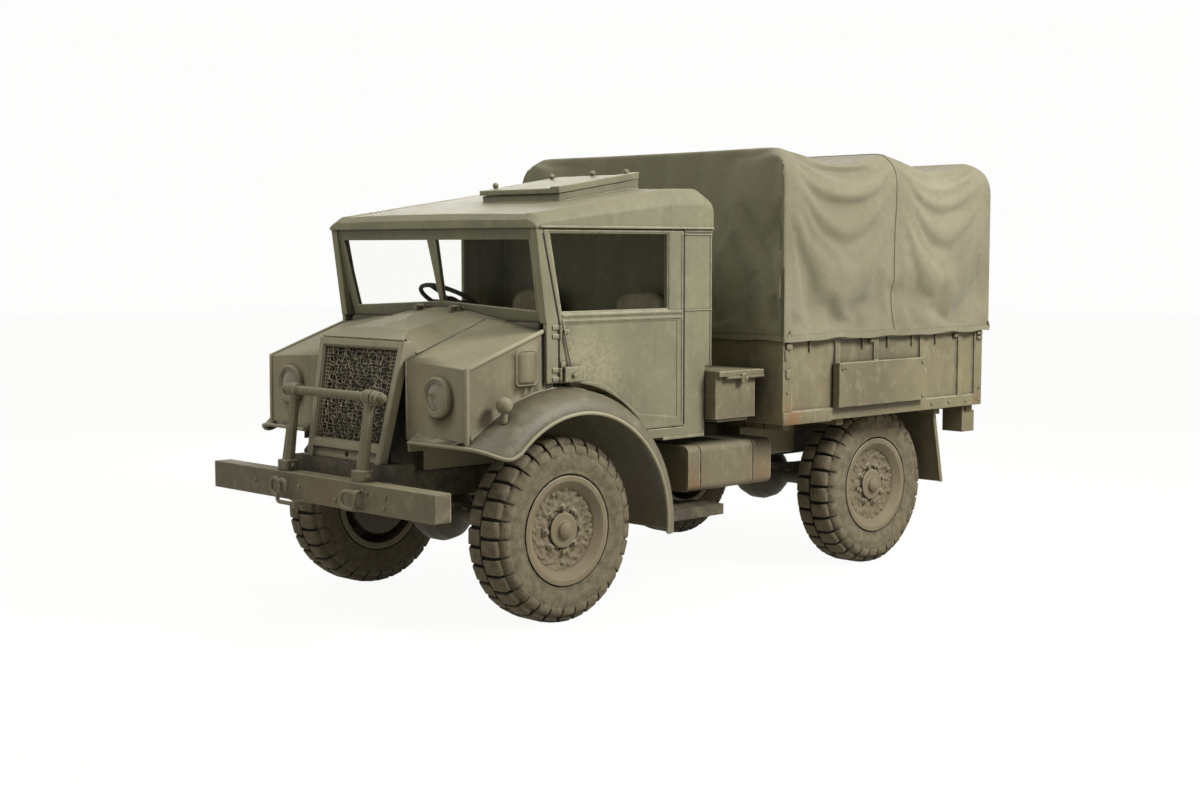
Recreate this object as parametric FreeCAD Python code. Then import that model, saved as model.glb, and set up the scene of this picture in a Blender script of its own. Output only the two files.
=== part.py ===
import FreeCAD, Part
import math
import os

# Light four-wheel-drive military cargo truck with a canvas tilt, in millimetres.
# X is the truck's left, Y its rear and Z up.  While it is drawn, the front axle
# lies at Y = 0 and the ground at Z = 0.  The last step moves the middle of the
# length to the origin.

# ---- wheels and steering -------------------------------------------------
WHEELBASE = 2565.0
TRACK_HALF = 787.5          # centre of the vehicle to centre of a tyre
TYRE_R = 480.0
TYRE_HALF = 140.0           # half of the tyre's widest section
LUGS = 30                   # bars round each shoulder of a tyre
LUG_SHARE = 0.76            # of the pitch between two bars
LUG_DEPTH = 20.0
LUG_FOOT = 400.0            # radius that the bars reach down the sidewall
AXLE_Z = TYRE_R             # the truck stands on its tyres
RIM_R = 262.0               # bead seat
FLANGE_R = 283.0
FLANGE_X = 128.0            # rim flange plane from the tyre's centre
FLANGE_T = 12.0
SEAT_GAP = 0.3
SPINDLE_R = 30.0
FIT = 0.05                  # radial clearance of a running fit
HUB_BACK = 100.0
SPINDLE_END = 80.0
DRUM_R = 185.0
FRONT_DIFF_R = 165.0
REAR_DIFF_R = 170.0
DIFF_X = -100.0             # the front differential lies right of the middle
PINION_UP = 25.0            # shaft end above the axle
BACKPLATE_R = 195.0
BACKPLATE_T = 8.0
KING_X = TRACK_HALF - 187.5  # kingpin axis
KING_R = 20.0
BOSS_R = 35.0
BOSS_HALF = 40.0            # half height of the axle's kingpin boss
YOKE_T = 35.0
YOKE_GAP = 1.0
ARM_LENGTH = 240.0          # steering arm, kingpin to tie rod pin
ARM_T = 30.0
TIE_R = 14.0
PIN_R = 10.0

# ---- springs -------------------------------------------------------------
SPRING_BOT = 534.0
SPRING_RISE = 40.0          # camber of the longest leaf
SPRING_IN = 376.0
SPRING_OUT = 424.0
LEAF_T = 13.0
LEAVES = 4
SPRINGS = ((0.0, 430.0), (WHEELBASE, 560.0))      # axle Y, half length
EYE_R = 18.0
EYE_Z = SPRING_BOT + LEAVES * LEAF_T + SPRING_RISE

# ---- frame ---------------------------------------------------------------
RAIL_IN = 370.0
RAIL_OUT = 430.0
RAIL_T = 8.0
RAIL_BOT = 650.0
RAIL_TOP = 790.0
RAIL_REAR = WHEELBASE + 835.0
CROSS_W = 60.0
CROSS_Y = (780.0, WHEELBASE - 925.0, WHEELBASE - 485.0, RAIL_REAR - CROSS_W)
BUMPER_FRONT = -900.0
BUMPER_DEPTH = 95.0
BUMPER_HALF = 965.0
BUMPER_BOT = 612.0
BUMPER_TOP = 755.0
BUMPER_T = 10.0
D_HOOK = (385.0, 672.0)       # X of its straight back, Z of its middle
S_HOOK = (-300.0, 682.0)      # X and Z of the curl's middle
HOOK_R = 42.0                # centre line of a tow hook's bend
HOOK_BAR = 11.0
HOOK_OUT = 51.0              # plane of the hooks before the bumper's face
HOOK_REACH = HOOK_OUT + HOOK_BAR

# ---- nose ----------------------------------------------------------------
GRILLE_BOT = 881.0
GRILLE_TOP = 1447.0
GRILLE_Y_BOT = -728.0
GRILLE_Y_TOP = -611.0
GRILLE_W_BOT = 322.0
GRILLE_W_TOP = 362.0
GRILLE_BORDER = 45.0
GRILLE_DEPTH = 48.0
MESH_COLS = 10              # diamonds across the grille, and half rows up it
MESH_ROWS = 26
MESH_STRAND = 0.24          # of a diamond's reach that is metal
SHEET = 8.0
ARCH_IN = 448.0             # inner wall of the front wheel arch
WING_FRONT = -603.0
COWL_Y = -98.0              # front face of the bulkhead
LAMP_X = 636.0
LAMP_Z = 1181.0
LAMP_R = 104.0
SIDE_LAMP = (930.0, -436.0, 1149.0)
GAP = 5.0                   # round every moving panel

# ---- cab -----------------------------------------------------------------
CAB_HALF = 870.0
WING_X = CAB_HALF - 25.0     # flat side of the front wing
CAB_WALL = 20.0
FLOOR_TOP = 900.0
ROOF_BASE = 2020.0
CAB_BACK = 1127.0
CAB_BACK_LOW = 1070.0
CAB_STEP_Z = 1273.0
DOOR_FRONT = -10.0
DOOR_REAR = 900.0
DOOR_TOP = ROOF_BASE - 10.0
DOOR_BOT = 955.0
BELT_Z = 1549.0
DOOR_T = 28.0
DOOR_LEAN = 4.153           # rise over run of the door's front edge above the belt
HATCH = (-130.0, 500.0, 330.0, 920.0)
HATCH_RISE = 40.0
HATCH_T = 26.0

# ---- cargo bed and tilt --------------------------------------------------
BED_FRONT = 1490.0
BED_REAR = RAIL_REAR + 30.0
BED_HALF = 1080.0
BED_BOT = 932.0
BED_FLOOR = 1000.0
BED_TOP = 1440.0
GATE_T = 26.0
GATE_BOT = 950.0
GATE_TOP = 1385.0
TILT_HALF = 1100.0
TILT_T = 12.0
TILT_HEM = 1400.0
TILT_FRONT = BED_FRONT - 16.0
TILT_REAR = BED_REAR + 50.0
BOW_R = 15.0
BEARER_DROP = 40.0           # cross bearers below the sills of the bed
BEARER_W = 60.0
TANK = (480.0, 900.0, 914.0, 1600.0, 585.0, 839.0)
BOX = (560.0, 950.0, 1076.0, 1400.0, 980.0, 1215.0)
LID_FRONT = CAB_BACK + 9    # the lid swings up behind the cab's overhang

Y_MID = (BUMPER_FRONT - HOOK_REACH + TILT_REAR) / 2.0


# ---- helpers -------------------------------------------------------------
def vec(x, y, z):
    return FreeCAD.Vector(x, y, z)


def box(x0, x1, y0, y1, z0, z1):
    return Part.makeBox(x1 - x0, y1 - y0, z1 - z0, vec(x0, y0, z0))


def rod(a, b, radius):
    start = vec(*a)
    run = vec(*b) - start
    return Part.makeCylinder(radius, run.Length, start, run)


def sheet3d(points, push):
    """Flat polygon through 3-D points, pushed along a vector."""
    corners = [vec(*p) for p in points]
    wire = Part.makePolygon(corners + corners[:1])
    return Part.Face(wire).extrude(vec(*push))


def prism_x(points, x0, x1):
    return sheet3d([(x0, y, z) for y, z in points], (x1 - x0, 0, 0))


def prism_y(points, y0, y1):
    return sheet3d([(x, y0, z) for x, z in points], (0, y1 - y0, 0))


def prism_z(points, z0, z1):
    return sheet3d([(x, y, z0) for x, y in points], (0, 0, z1 - z0))


def arc(a, b, c):
    return Part.Arc(vec(*a), vec(*b), vec(*c)).toShape()


def line(a, b):
    return Part.LineSegment(vec(*a), vec(*b)).toShape()


def mirror(shape):
    return shape.mirror(vec(0, 0, 0), vec(1, 0, 0))


def fuse(shapes):
    return shapes[0].multiFuse(shapes[1:]).removeSplitter()


def cut(shape, tools):
    for tool in tools:
        shape = shape.cut(tool)
    return shape


def round_along(shape, axis, radius):
    """Fillet of every edge that runs along one axis."""
    edges = [e for e in shape.Edges if abs(getattr(e.tangentAt(0), axis)) > 0.9]
    return shape.makeFillet(radius, edges)


def group(shapes):
    return Part.makeCompound(shapes)


def both(shape):
    return group([shape, mirror(shape)])


def turned(profile, x, z, y, side=1):
    """Solid of revolution about a wheel's axle from (offset, radius) points."""
    points = [vec(x + side * a, y, z + r) for a, r in profile]
    face = Part.Face(Part.makePolygon(points + points[:1]))
    return face.revolve(vec(x, y, z), vec(1, 0, 0), 360)


def ball(x, y, z, radius):
    """Ball in flat bands, turned about X."""
    turns = [math.radians(22.5 * i) for i in range(9)]
    return turned([(-radius * math.cos(a), radius * math.sin(a)) for a in turns], x, z, y)


def spun(profile, x, y, z):
    """Solid of revolution about a line along Y from (reach forwards, radius) points."""
    points = [vec(x + r, y - a, z) for a, r in profile]
    face = Part.Face(Part.makePolygon(points + points[:1]))
    return face.revolve(vec(x, y, z), vec(0, 1, 0), 360)


def eight(middle, u, v, radius):
    """Octagon in the plane of two unit vectors, for bars that are bent or ringed."""
    points = []
    for i in range(8):
        turn = math.radians(22.5 + 45 * i)
        points.append(middle + u * radius * math.cos(turn) + v * radius * math.sin(turn))
    return Part.makePolygon(points + points[:1])


def loft(wires):
    return Part.makeLoft(wires, True, True)


# ---- hinges --------------------------------------------------------------
# Where each hinge lies: axis letter, place across the axis, then the low and
# high end of each barrel along the axis.
DOOR_HINGE = ("z", (CAB_HALF + 8, DOOR_FRONT - GAP / 2), ((1245, 1311), (1462, 1528)))
BONNET_HINGE = ("x", (COWL_Y - GAP / 2, 1609), ((-180, -114), (114, 180)))
HATCH_HINGE = ("x", (HATCH[3] + 8, ROOF_BASE + 280), ((-40, 50), (320, 410)))
GATE_HINGE = ("x", (BED_REAR + 6, BED_BOT + 4),
              ((-760, -640), (-60, 60), (640, 760)))
BOX_HINGE = ("y", (BOX[0] - 9, BOX[5] + GAP + 2), ((1160, 1220), (1340, 1400)))
BARREL_R = 8.0
HINGE_PIN_R = 4.0


def along(axis, at, s):
    spot = {"x": (s, at[0], at[1]), "y": (at[0], s, at[1]), "z": (at[0], at[1], s)}
    return spot[axis]


def leaf_box(axis, at, s0, s1, rect):
    u0, u1, v0, v1 = rect
    low = along(axis, (at[0] + u0, at[1] + v0), s0)
    high = along(axis, (at[0] + u1, at[1] + v1), s1)
    return box(low[0], high[0], low[1], high[1], low[2], high[2])


def hinge(place, host, guest):
    """Fixed and moving halves; host and guest are leaf sections about the axis."""
    axis, at, spans = place
    fixed, moving = [], []
    for s0, s1 in spans:
        third = (s1 - s0) / 3.0
        a, b = s0 + third, s1 - third
        for p, q in ((s0, a - 0.5), (b + 0.5, s1)):
            fixed.append(rod(along(axis, at, p), along(axis, at, q), BARREL_R))
            fixed.append(leaf_box(axis, at, p, q, host))
        fixed.append(rod(along(axis, at, s0), along(axis, at, s1), HINGE_PIN_R))
        eye = fuse([rod(along(axis, at, a), along(axis, at, b), BARREL_R),
                    leaf_box(axis, at, a, b, guest)])
        bore = rod(along(axis, at, a - 9), along(axis, at, b + 9), HINGE_PIN_R + FIT)
        moving.append(eye.cut(bore))
    return fixed, moving


def door_hinge():
    return hinge(DOOR_HINGE, (-8, -2, -50, 0), (-8, -2, 0, 60))


def bonnet_hinge():
    return hinge(BONNET_HINGE, (0, 34, -40, 0), (-40, 0, -26, 0))


def hatch_hinge():
    return hinge(HATCH_HINGE, (-8, 0, -30, 0), (-22, 0, 4, 8))


def gate_hinge():
    return hinge(GATE_HINGE, (-50, 0, -8, 0), (-6, 6, 0, 60))


def box_hinge():
    return hinge(BOX_HINGE, (0, 9, -26, -5), (0, 20, -2, 6))


# ---- running gear --------------------------------------------------------
def carcass():
    """Smooth body of a tyre, (offset, radius), below its bars."""
    bead = FLANGE_X - FLANGE_T - SEAT_GAP
    base = TYRE_R - LUG_DEPTH
    half = [(bead, RIM_R + SEAT_GAP), (bead, FLANGE_R + 2), (FLANGE_X, FLANGE_R + 17),
            (TYRE_HALF - 4, 345), (TYRE_HALF - 4, LUG_FOOT - 8),
            (TYRE_HALF - 18, base - 30), (TYRE_HALF - 60, base)]
    return turned(half + [(-a, r) for a, r in reversed(half)], 0, 0, 0)


def lug(side, turn):
    """One bar, from beside the tyre's middle over the shoulder to the sidewall."""
    base = TYRE_R - LUG_DEPTH
    outline = [(5, base - 4), (5, TYRE_R), (TYRE_HALF - 50, TYRE_R),
               (TYRE_HALF - 12, TYRE_R - 28), (TYRE_HALF, LUG_FOOT + 14),
               (TYRE_HALF - 8, LUG_FOOT - 4), (TYRE_HALF - 40, base - 22)]
    points = [vec(side * a, 0, r) for a, r in outline]
    face = Part.Face(Part.makePolygon(points + points[:1]))
    width = 360.0 / LUGS * LUG_SHARE
    face.rotate(vec(0, 0, 0), vec(1, 0, 0), turn - width / 2)
    return face.revolve(vec(0, 0, 0), vec(1, 0, 0), width)


def tyre():
    """Both rows of bars on the carcass, half a pitch apart, one of them straight down."""
    pitch = 360.0 / LUGS
    bars = []
    for side, start in ((1, 180.0), (-1, 180.0 + pitch / 2)):
        bars += [lug(side, start + i * pitch) for i in range(LUGS)]
    return carcass().multiFuse(bars)


def wheel(x, y, side):
    inner = RIM_R - 12
    profile = [
        (-HUB_BACK, SPINDLE_R + FIT), (SPINDLE_END + 2, SPINDLE_R + FIT),
        (SPINDLE_END + 2, 0), (135, 0), (132, 22), (120, 42), (104, 50),
        (100, 90), (78, 92), (75, 200), (95, 215), (FLANGE_X, 255),
        (FLANGE_X, FLANGE_R), (FLANGE_X - FLANGE_T, FLANGE_R),
        (FLANGE_X - FLANGE_T, RIM_R), (FLANGE_T - FLANGE_X, RIM_R),
        (FLANGE_T - FLANGE_X, FLANGE_R), (-FLANGE_X, FLANGE_R),
        (-FLANGE_X, inner), (62, inner), (62, DRUM_R), (-HUB_BACK, DRUM_R)]
    return turned(profile, x, AXLE_Z, y, side)


def spindle(y):
    """Left-hand backing plate and wheel spindle."""
    face = TRACK_HALF - FLANGE_X
    plate = rod((face, y, AXLE_Z), (face + BACKPLATE_T, y, AXLE_Z), BACKPLATE_R)
    pin = rod((face, y, AXLE_Z), (TRACK_HALF + SPINDLE_END, y, AXLE_Z), SPINDLE_R)
    return [plate, pin]


def axle_housing(y, diff_x, ends, tube_r, diff_r):
    """Lathe-shaped casing: ends lists (X, radius) from the tube outwards."""
    swell = [(-1.15, tube_r), (-0.95, 0.55 * diff_r), (-0.6, 0.86 * diff_r),
             (-0.2, diff_r), (0.2, diff_r), (0.6, 0.86 * diff_r), (0.95, 0.55 * diff_r),
             (1.15, tube_r)]
    middle = [(diff_x + a * diff_r, r) for a, r in swell]
    profile = [(-x, r) for x, r in reversed(ends)] + middle + list(ends)
    casing = turned(profile, 0.0, AXLE_Z, y)
    pads = [box(s * 400 - 32, s * 400 + 32, y - 62, y + 62, AXLE_Z, SPRING_BOT)
            for s in (-1, 1)]
    return [casing] + pads


def leaf(y, half, full, base, x0, x1):
    """One curved leaf of a pack, its middle lowest."""
    rise = SPRING_RISE * (half / full) ** 2
    low = [(x0, y - half, base + rise), (x0, y, base), (x0, y + half, base + rise)]
    high = [(a, b, c + LEAF_T) for a, b, c in low]
    edges = [arc(*low), line(low[2], high[2]), arc(*high), line(high[0], low[0])]
    return Part.Face(Part.Wire(edges)).extrude(vec(x1 - x0, 0, 0))


def springs(y, half):
    """Left and right leaf packs with their end eyes."""
    packs = []
    for x0, x1 in ((SPRING_IN, SPRING_OUT), (-SPRING_OUT, -SPRING_IN)):
        parts = []
        for i in range(LEAVES):
            share = half * (i + 2.0) / (LEAVES + 1.0)
            parts.append(leaf(y, share, half, SPRING_BOT + i * LEAF_T, x0, x1))
        for end in (-half, half):
            parts.append(rod((x0, y + end, EYE_Z), (x1, y + end, EYE_Z), EYE_R))
        for clamp in (-52, 40):
            parts.append(box(x0 - 6, x1 + 6, y + clamp, y + clamp + 12, SPRING_BOT + 1,
                             SPRING_BOT + LEAVES * LEAF_T + 14))
        packs.append(fuse(parts))
    return packs


def front_axle():
    tube = KING_X - 80
    ends = ((tube, 45.0), (tube, 30.0), (KING_X, 30.0), (KING_X, 0.0))
    parts = axle_housing(0.0, DIFF_X, ends, 45.0, FRONT_DIFF_R)
    for s in (-1, 1):
        x = s * KING_X
        parts.append(rod((x, 0, AXLE_Z - BOSS_HALF), (x, 0, AXLE_Z + BOSS_HALF), BOSS_R))
        top = BOSS_HALF + YOKE_GAP + YOKE_T
        parts.append(rod((x, 0, AXLE_Z - top), (x, 0, AXLE_Z + top), KING_R))
    return group([fuse(parts)] + springs(*SPRINGS[0]))


def rear_axle():
    tube = TRACK_HALF - FLANGE_X
    ends = ((tube, 50.0), (tube, 0.0))
    parts = axle_housing(WHEELBASE, 0.0, ends, 50.0, REAR_DIFF_R)
    for part in spindle(WHEELBASE):
        parts += [part, mirror(part)]
    return group([fuse(parts)] + springs(*SPRINGS[1]))


def knuckle():
    near = BOSS_HALF + YOKE_GAP
    far = near + YOKE_T
    web = TRACK_HALF - FLANGE_X
    parts = [box(KING_X + BOSS_R + 6, web, -60, 60, AXLE_Z - far, AXLE_Z + far)]
    for low in (AXLE_Z - far, AXLE_Z + near):
        parts.append(box(KING_X, web, -40, 40, low, low + YOKE_T))
        parts.append(rod((KING_X, 0, low), (KING_X, 0, low + YOKE_T), 40))
    arm_z = AXLE_Z - far
    parts.append(box(KING_X - 22, KING_X + 22, 30, ARM_LENGTH, arm_z, arm_z + ARM_T))
    pin_top = arm_z + ARM_T + 2 * TIE_R + 4
    for z0, z1, r in ((arm_z, arm_z + ARM_T, 24), (arm_z, pin_top, PIN_R)):
        parts.append(rod((KING_X, ARM_LENGTH, z0), (KING_X, ARM_LENGTH, z1), r))
    body = fuse(parts + spindle(0.0))
    bore = rod((KING_X, 0, AXLE_Z - far - 1), (KING_X, 0, AXLE_Z + far + 1), KING_R + FIT)
    return body.cut(bore)


def tie_rod():
    low = AXLE_Z - BOSS_HALF - YOKE_GAP - YOKE_T + ARM_T + 1
    z = low + TIE_R
    parts = [rod((-KING_X, ARM_LENGTH, z), (KING_X, ARM_LENGTH, z), TIE_R)]
    bores = []
    for x in (-KING_X, KING_X):
        parts.append(rod((x, ARM_LENGTH, low), (x, ARM_LENGTH, low + 2 * TIE_R), 22))
        bores.append(rod((x, ARM_LENGTH, low - 1), (x, ARM_LENGTH, low + 99), PIN_R + FIT))
    return cut(fuse(parts), bores)


def driveline():
    gearbox = box(-120, 120, ENGINE[3], 720, 625, 850)
    transfer = box(-170, 150, 850, 1100, 560, 780)
    link = rod((0, 719, 635), (0, 851, 635), 30)
    case = fuse([gearbox, transfer, link])
    reach = [math.sqrt((r + SEAT_GAP) ** 2 - PINION_UP ** 2) for r in (FRONT_DIFF_R, REAR_DIFF_R)]
    pinion_z = AXLE_Z + PINION_UP
    front = rod((DIFF_X, 850, 600), (DIFF_X, reach[0], pinion_z), 28)
    rear = rod((0, 1100, 640), (0, WHEELBASE - reach[1], pinion_z), 34)
    return group([fuse([case, front, rear])])


ENGINE = (-200.0, 200.0, -430.0, 300.0, 700.0, 1180.0)


def engine():
    feet = [box(x0, x1, -60, 20, 760, 830) for x0, x1 in ((-420, -199), (199, 420))]
    return fuse([box(*ENGINE)] + [f.cut(box(-999, 999, -99, 99, 0, RAIL_TOP)) for f in feet])


# ---- frame ---------------------------------------------------------------
def rail():
    horn = BUMPER_FRONT + BUMPER_T
    bend = BUMPER_FRONT + BUMPER_DEPTH + 5
    outline = [(horn, 655), (horn, 738), (bend, 738), (-578, 783), (-500, RAIL_TOP),
               (RAIL_REAR, RAIL_TOP), (RAIL_REAR, RAIL_BOT), (-480, RAIL_BOT)]
    hollow = [(horn - 9, 655 + RAIL_T), (horn - 9, 738 - RAIL_T), (bend, 738 - RAIL_T),
              (-578, 783 - RAIL_T),
              (-500, RAIL_TOP - RAIL_T), (RAIL_REAR + 9, RAIL_TOP - RAIL_T),
              (RAIL_REAR + 9, RAIL_BOT + RAIL_T), (-480, RAIL_BOT + RAIL_T)]
    solid = prism_x(outline, RAIL_IN, RAIL_OUT)
    return solid.cut(prism_x(hollow, RAIL_IN - 9, RAIL_OUT - RAIL_T))


def hangers():
    """Cheeks with a pin for each spring eye."""
    parts = []
    for y, half in SPRINGS:
        for end in (y - half, y + half):
            for x0, x1 in ((RAIL_IN - 8, SPRING_IN - SEAT_GAP),
                           (SPRING_OUT + SEAT_GAP, RAIL_OUT + 8)):
                parts.append(box(x0, x1, end - 28, end + 28, EYE_Z - 26, RAIL_BOT + 50))
    return parts


def frame_rails():
    web = RAIL_OUT - RAIL_T
    parts = [rail(), mirror(rail())]
    horn_strap = box(RAIL_OUT - 1, RAIL_OUT + 6, -592, -562, RAIL_BOT + 8, 776)
    for part in hangers() + [horn_strap]:
        parts += [part, mirror(part)]
    for y in CROSS_Y:
        parts.append(box(-web, web, y, y + CROSS_W, RAIL_BOT + 20, RAIL_TOP - 12))
    parts.append(box(-RAIL_OUT, RAIL_OUT, -742, -600, 715, GRILLE_BOT - 55))
    plate = box(-90, 90, RAIL_REAR, RAIL_REAR + 12, RAIL_BOT + 10, RAIL_TOP - 6)
    hook_y = RAIL_REAR + 45
    hook = Part.makeTorus(24, 9, vec(0, hook_y, 720), vec(1, 0, 0), -180, 180, 360)
    stem = rod((0, RAIL_REAR + 11, 720), (0, hook_y - 20, 720), 14)
    strut = box(-RAIL_OUT, RAIL_OUT, RAIL_REAR - 8, RAIL_REAR, RAIL_BOT, RAIL_TOP)
    return fuse(parts + [strut, plate, stem, hook])


def bend(x, z, radius, start, sweep):
    """Bar bent about (X, Z) in a plane before the bumper's face, angles in degrees."""
    middle = vec(x, BUMPER_FRONT - HOOK_OUT, z)
    out = vec(math.cos(math.radians(start)), 0, math.sin(math.radians(start)))
    ring = Part.Face(eight(middle + out * radius, out, vec(0, 1, 0), HOOK_BAR))
    return ring.revolve(middle, vec(0, -1, 0), sweep)


def tow_hook_d():
    """Long ring with a straight back, stood off the bumper by two stubs."""
    x, z = D_HOOK
    r, y, mid = HOOK_R, BUMPER_FRONT - HOOK_OUT, x - 65.0
    parts = [bend(mid, z, r, 90, 180), rod((x, y, z + r), (x, y, z - r), HOOK_BAR)]
    for end in (z + r, z - r):
        parts.append(rod((mid, y, end), (x, y, end), HOOK_BAR))
        parts.append(rod((x, BUMPER_FRONT, end), (x, y, end), HOOK_BAR))
    return fuse(parts)


def tow_hook_s():
    """Curl with a second lobe, whose tail runs out to a round foot on the bumper."""
    x, z = S_HOOK
    r, q = HOOK_R, 0.43 * HOOK_R
    low, y, foot = z - r - q, BUMPER_FRONT - HOOK_OUT, x + 165.0
    parts = [bend(x, z, r, -30, 300), bend(x + 1.6 * r, z + 6, 0.78 * r, -40, 220),
             bend(x, low, q, 0, 90), bend(x + 2 * q, low, q, 180, 90)]
    parts.append(rod((x + 2 * q, y, low - q), (foot, y, low - q), HOOK_BAR))
    parts.append(rod((foot, BUMPER_FRONT, low - q), (foot, y - HOOK_BAR, low - q), HOOK_BAR + 6))
    return fuse(parts)


def front_bumper():
    rear = BUMPER_FRONT + BUMPER_DEPTH
    shell = box(-BUMPER_HALF, BUMPER_HALF, BUMPER_FRONT, rear, BUMPER_BOT, BUMPER_TOP)
    t = BUMPER_T
    room = box(t - BUMPER_HALF, BUMPER_HALF - t, BUMPER_FRONT + t, rear + 9,
               BUMPER_BOT + t, BUMPER_TOP - t)
    beam = round_along(shell, "y", 8).cut(room)
    return group([beam, tow_hook_s(), tow_hook_d()])


GUARD_X = 325.0
GUARD_HALF = 400.0
GUARD_BAR = (-800.0, 1175.0)      # Y and Z of the bar
GUARD_BAR_R = 24.0
GUARD_FOOT_Y = -852.0


def octagon(x, y, z, across):
    """Level ring of a post, its corners cut."""
    a, b = across / 2.0, across * 0.22
    points = [vec(x + p, y + q, z) for p, q in (
        (-a, -b), (-b, -a), (b, -a), (a, -b), (a, b), (b, a), (-b, a), (-a, b))]
    return Part.makePolygon(points + points[:1])


def guard_post(x):
    y, z = GUARD_BAR
    foot = box(x - 45, x + 45, GUARD_FOOT_Y - 40, GUARD_FOOT_Y + 40, BUMPER_TOP, 812)
    foot = round_along(foot, "z", 12)
    post = Part.makeLoft([octagon(x, GUARD_FOOT_Y, 800, 62), octagon(x, y, z, 46)], True, True)
    eye = rod((x - 30, y, z), (x + 30, y, z), GUARD_BAR_R + 14)
    lug_pin = rod((x - 52, GUARD_FOOT_Y, 785), (x + 52, GUARD_FOOT_Y, 785), 9)
    return [foot, post, eye, lug_pin]


def grille_guard():
    """Posts and the bar through their eyes, turned with a ball end, collar and knob."""
    r, end, collar = GUARD_BAR_R, GUARD_HALF, GUARD_X + 38
    profile = [(-end - 31, 0), (-end - 28, 16), (-end - 14, 28), (-end, 31), (-end + 14, 28),
               (-end + 20, r), (collar, r), (collar, r + 10), (collar + 14, r + 10),
               (collar + 14, r), (end - 8, r), (end - 6, r + 7), (end + 8, r + 7),
               (end + 10, 15), (end + 22, 15), (end + 28, 20), (end + 42, 20),
               (end + 50, 12), (end + 52, 0)]
    parts = [turned(profile, 0.0, GUARD_BAR[1], GUARD_BAR[0])]
    for x in (-GUARD_X, GUARD_X):
        parts += guard_post(x)
    return fuse(parts)


# ---- nose ----------------------------------------------------------------
def grille_y(z):
    share = (z - GRILLE_BOT) / (GRILLE_TOP - GRILLE_BOT)
    return GRILLE_Y_BOT + share * (GRILLE_Y_TOP - GRILLE_Y_BOT)


def grille_half(z, inset=0.0):
    share = (z - GRILLE_BOT) / (GRILLE_TOP - GRILLE_BOT)
    return GRILLE_W_BOT + share * (GRILLE_W_TOP - GRILLE_W_BOT) - inset


def grille_slab(z0, z1, inset, back, depth):
    """Slab of the grille's tapering, leaning shape."""
    points = []
    for z, side in ((z0, -1), (z0, 1), (z1, 1), (z1, -1)):
        points.append((side * grille_half(z, inset), grille_y(z) + back, z))
    return sheet3d(points, (0, depth, 0))


def shell_reach():
    """From the bonnet's hinge axis to the shell's nearest edge, its rear top one."""
    y, z = BONNET_HINGE[1]
    return math.hypot(GRILLE_Y_TOP + GRILLE_DEPTH - y, GRILLE_TOP - z)


def bonnet_sweep(radius):
    """Solid of all that turns within a radius of the bonnet's hinge axis."""
    y, z = BONNET_HINGE[1]
    return rod((-CAB_HALF, y, z), (CAB_HALF, y, z), radius)


def radiator_shell():
    """Grille surround, whose sides run back to the arc of the bonnet's front edge."""
    b = GRILLE_BORDER
    outer = grille_slab(GRILLE_BOT - 55, GRILLE_TOP, 0, 0, GRILLE_DEPTH)
    sides = grille_slab(GRILLE_TOP - 100, GRILLE_TOP, 0, GRILLE_DEPTH - 1, 90)
    sides = sides.cut(grille_slab(GRILLE_TOP - 101, GRILLE_TOP + 1, SHEET, -9, 199))
    sides = sides.cut(bonnet_sweep(shell_reach()))
    hole = grille_slab(GRILLE_BOT + b, GRILLE_TOP - b, b, -9, GRILLE_DEPTH + 18)
    step = grille_slab(GRILLE_BOT + b - 9, GRILLE_TOP - b + 9, b - 9, -9, 15)
    recess = grille_slab(GRILLE_BOT - 99, GRILLE_BOT, b, -9, 30)
    crank = rod((0, -900, GRILLE_BOT - 26), (0, -600, GRILLE_BOT - 26), 16)
    return fuse([cut(outer, [hole, step, recess, crank]), sides])


def mesh_point(u, v):
    """Knot of the expanded metal: lattice place to X, Y and Z, crumpled a little."""
    b = GRILLE_BORDER
    edge = min(u, MESH_COLS - u, v, MESH_ROWS - v, 1.0)
    u += 0.20 * edge * math.sin(5.1 * u + 1.7 * v)
    v += 0.32 * edge * math.sin(3.7 * u - 2.9 * v)
    z0, z1 = GRILLE_BOT + b, GRILLE_TOP - b
    z = z0 + 6 + (z1 - z0 - 12) * v / MESH_ROWS
    return (2.0 * u / MESH_COLS - 1.0) * (grille_half(z, b) - 5), grille_y(z) + 16, z


def diamond(u, v):
    """Opening between four knots, held back from them by the strands' width."""
    corners = [mesh_point(u + a, v + b) for a, b in ((-0.5, 0), (0, -1), (0.5, 0), (0, 1))]
    middle = [sum(c[i] for c in corners) / 4.0 for i in range(3)]
    keep = 1.0 - MESH_STRAND
    points = [vec(*[m + keep * (q - m) for m, q in zip(middle, c)]) for c in corners]
    return Part.makePolygon(points + points[:1])


def grille_mesh():
    """Expanded metal sheet, seated in the radiator shell's opening."""
    b = GRILLE_BORDER
    rim = []
    for z, side in ((GRILLE_BOT + b, -1), (GRILLE_BOT + b, 1), (GRILLE_TOP - b, 1),
                    (GRILLE_TOP - b, -1)):
        rim.append(vec(side * grille_half(z, b), grille_y(z) + 16, z))
    wires = [Part.makePolygon(rim + rim[:1])]
    for v in range(1, MESH_ROWS):
        odd = v % 2
        wires += [diamond(u + 0.5 * odd, v) for u in range(1 - odd, MESH_COLS)]
    return Part.makeFace(wires, "Part::FaceMakerBullseye").extrude(vec(0, 6, 0))


def radiator():
    core = grille_slab(GRILLE_BOT + 5, GRILLE_TOP - 55, 50, GRILLE_DEPTH + 12, 70)
    feet = [box(x - 30, x + 30, -640, -600, GRILLE_BOT - 55, GRILLE_BOT + 30)
            for x in (-200, 200)]
    return fuse([core] + feet)


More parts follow.
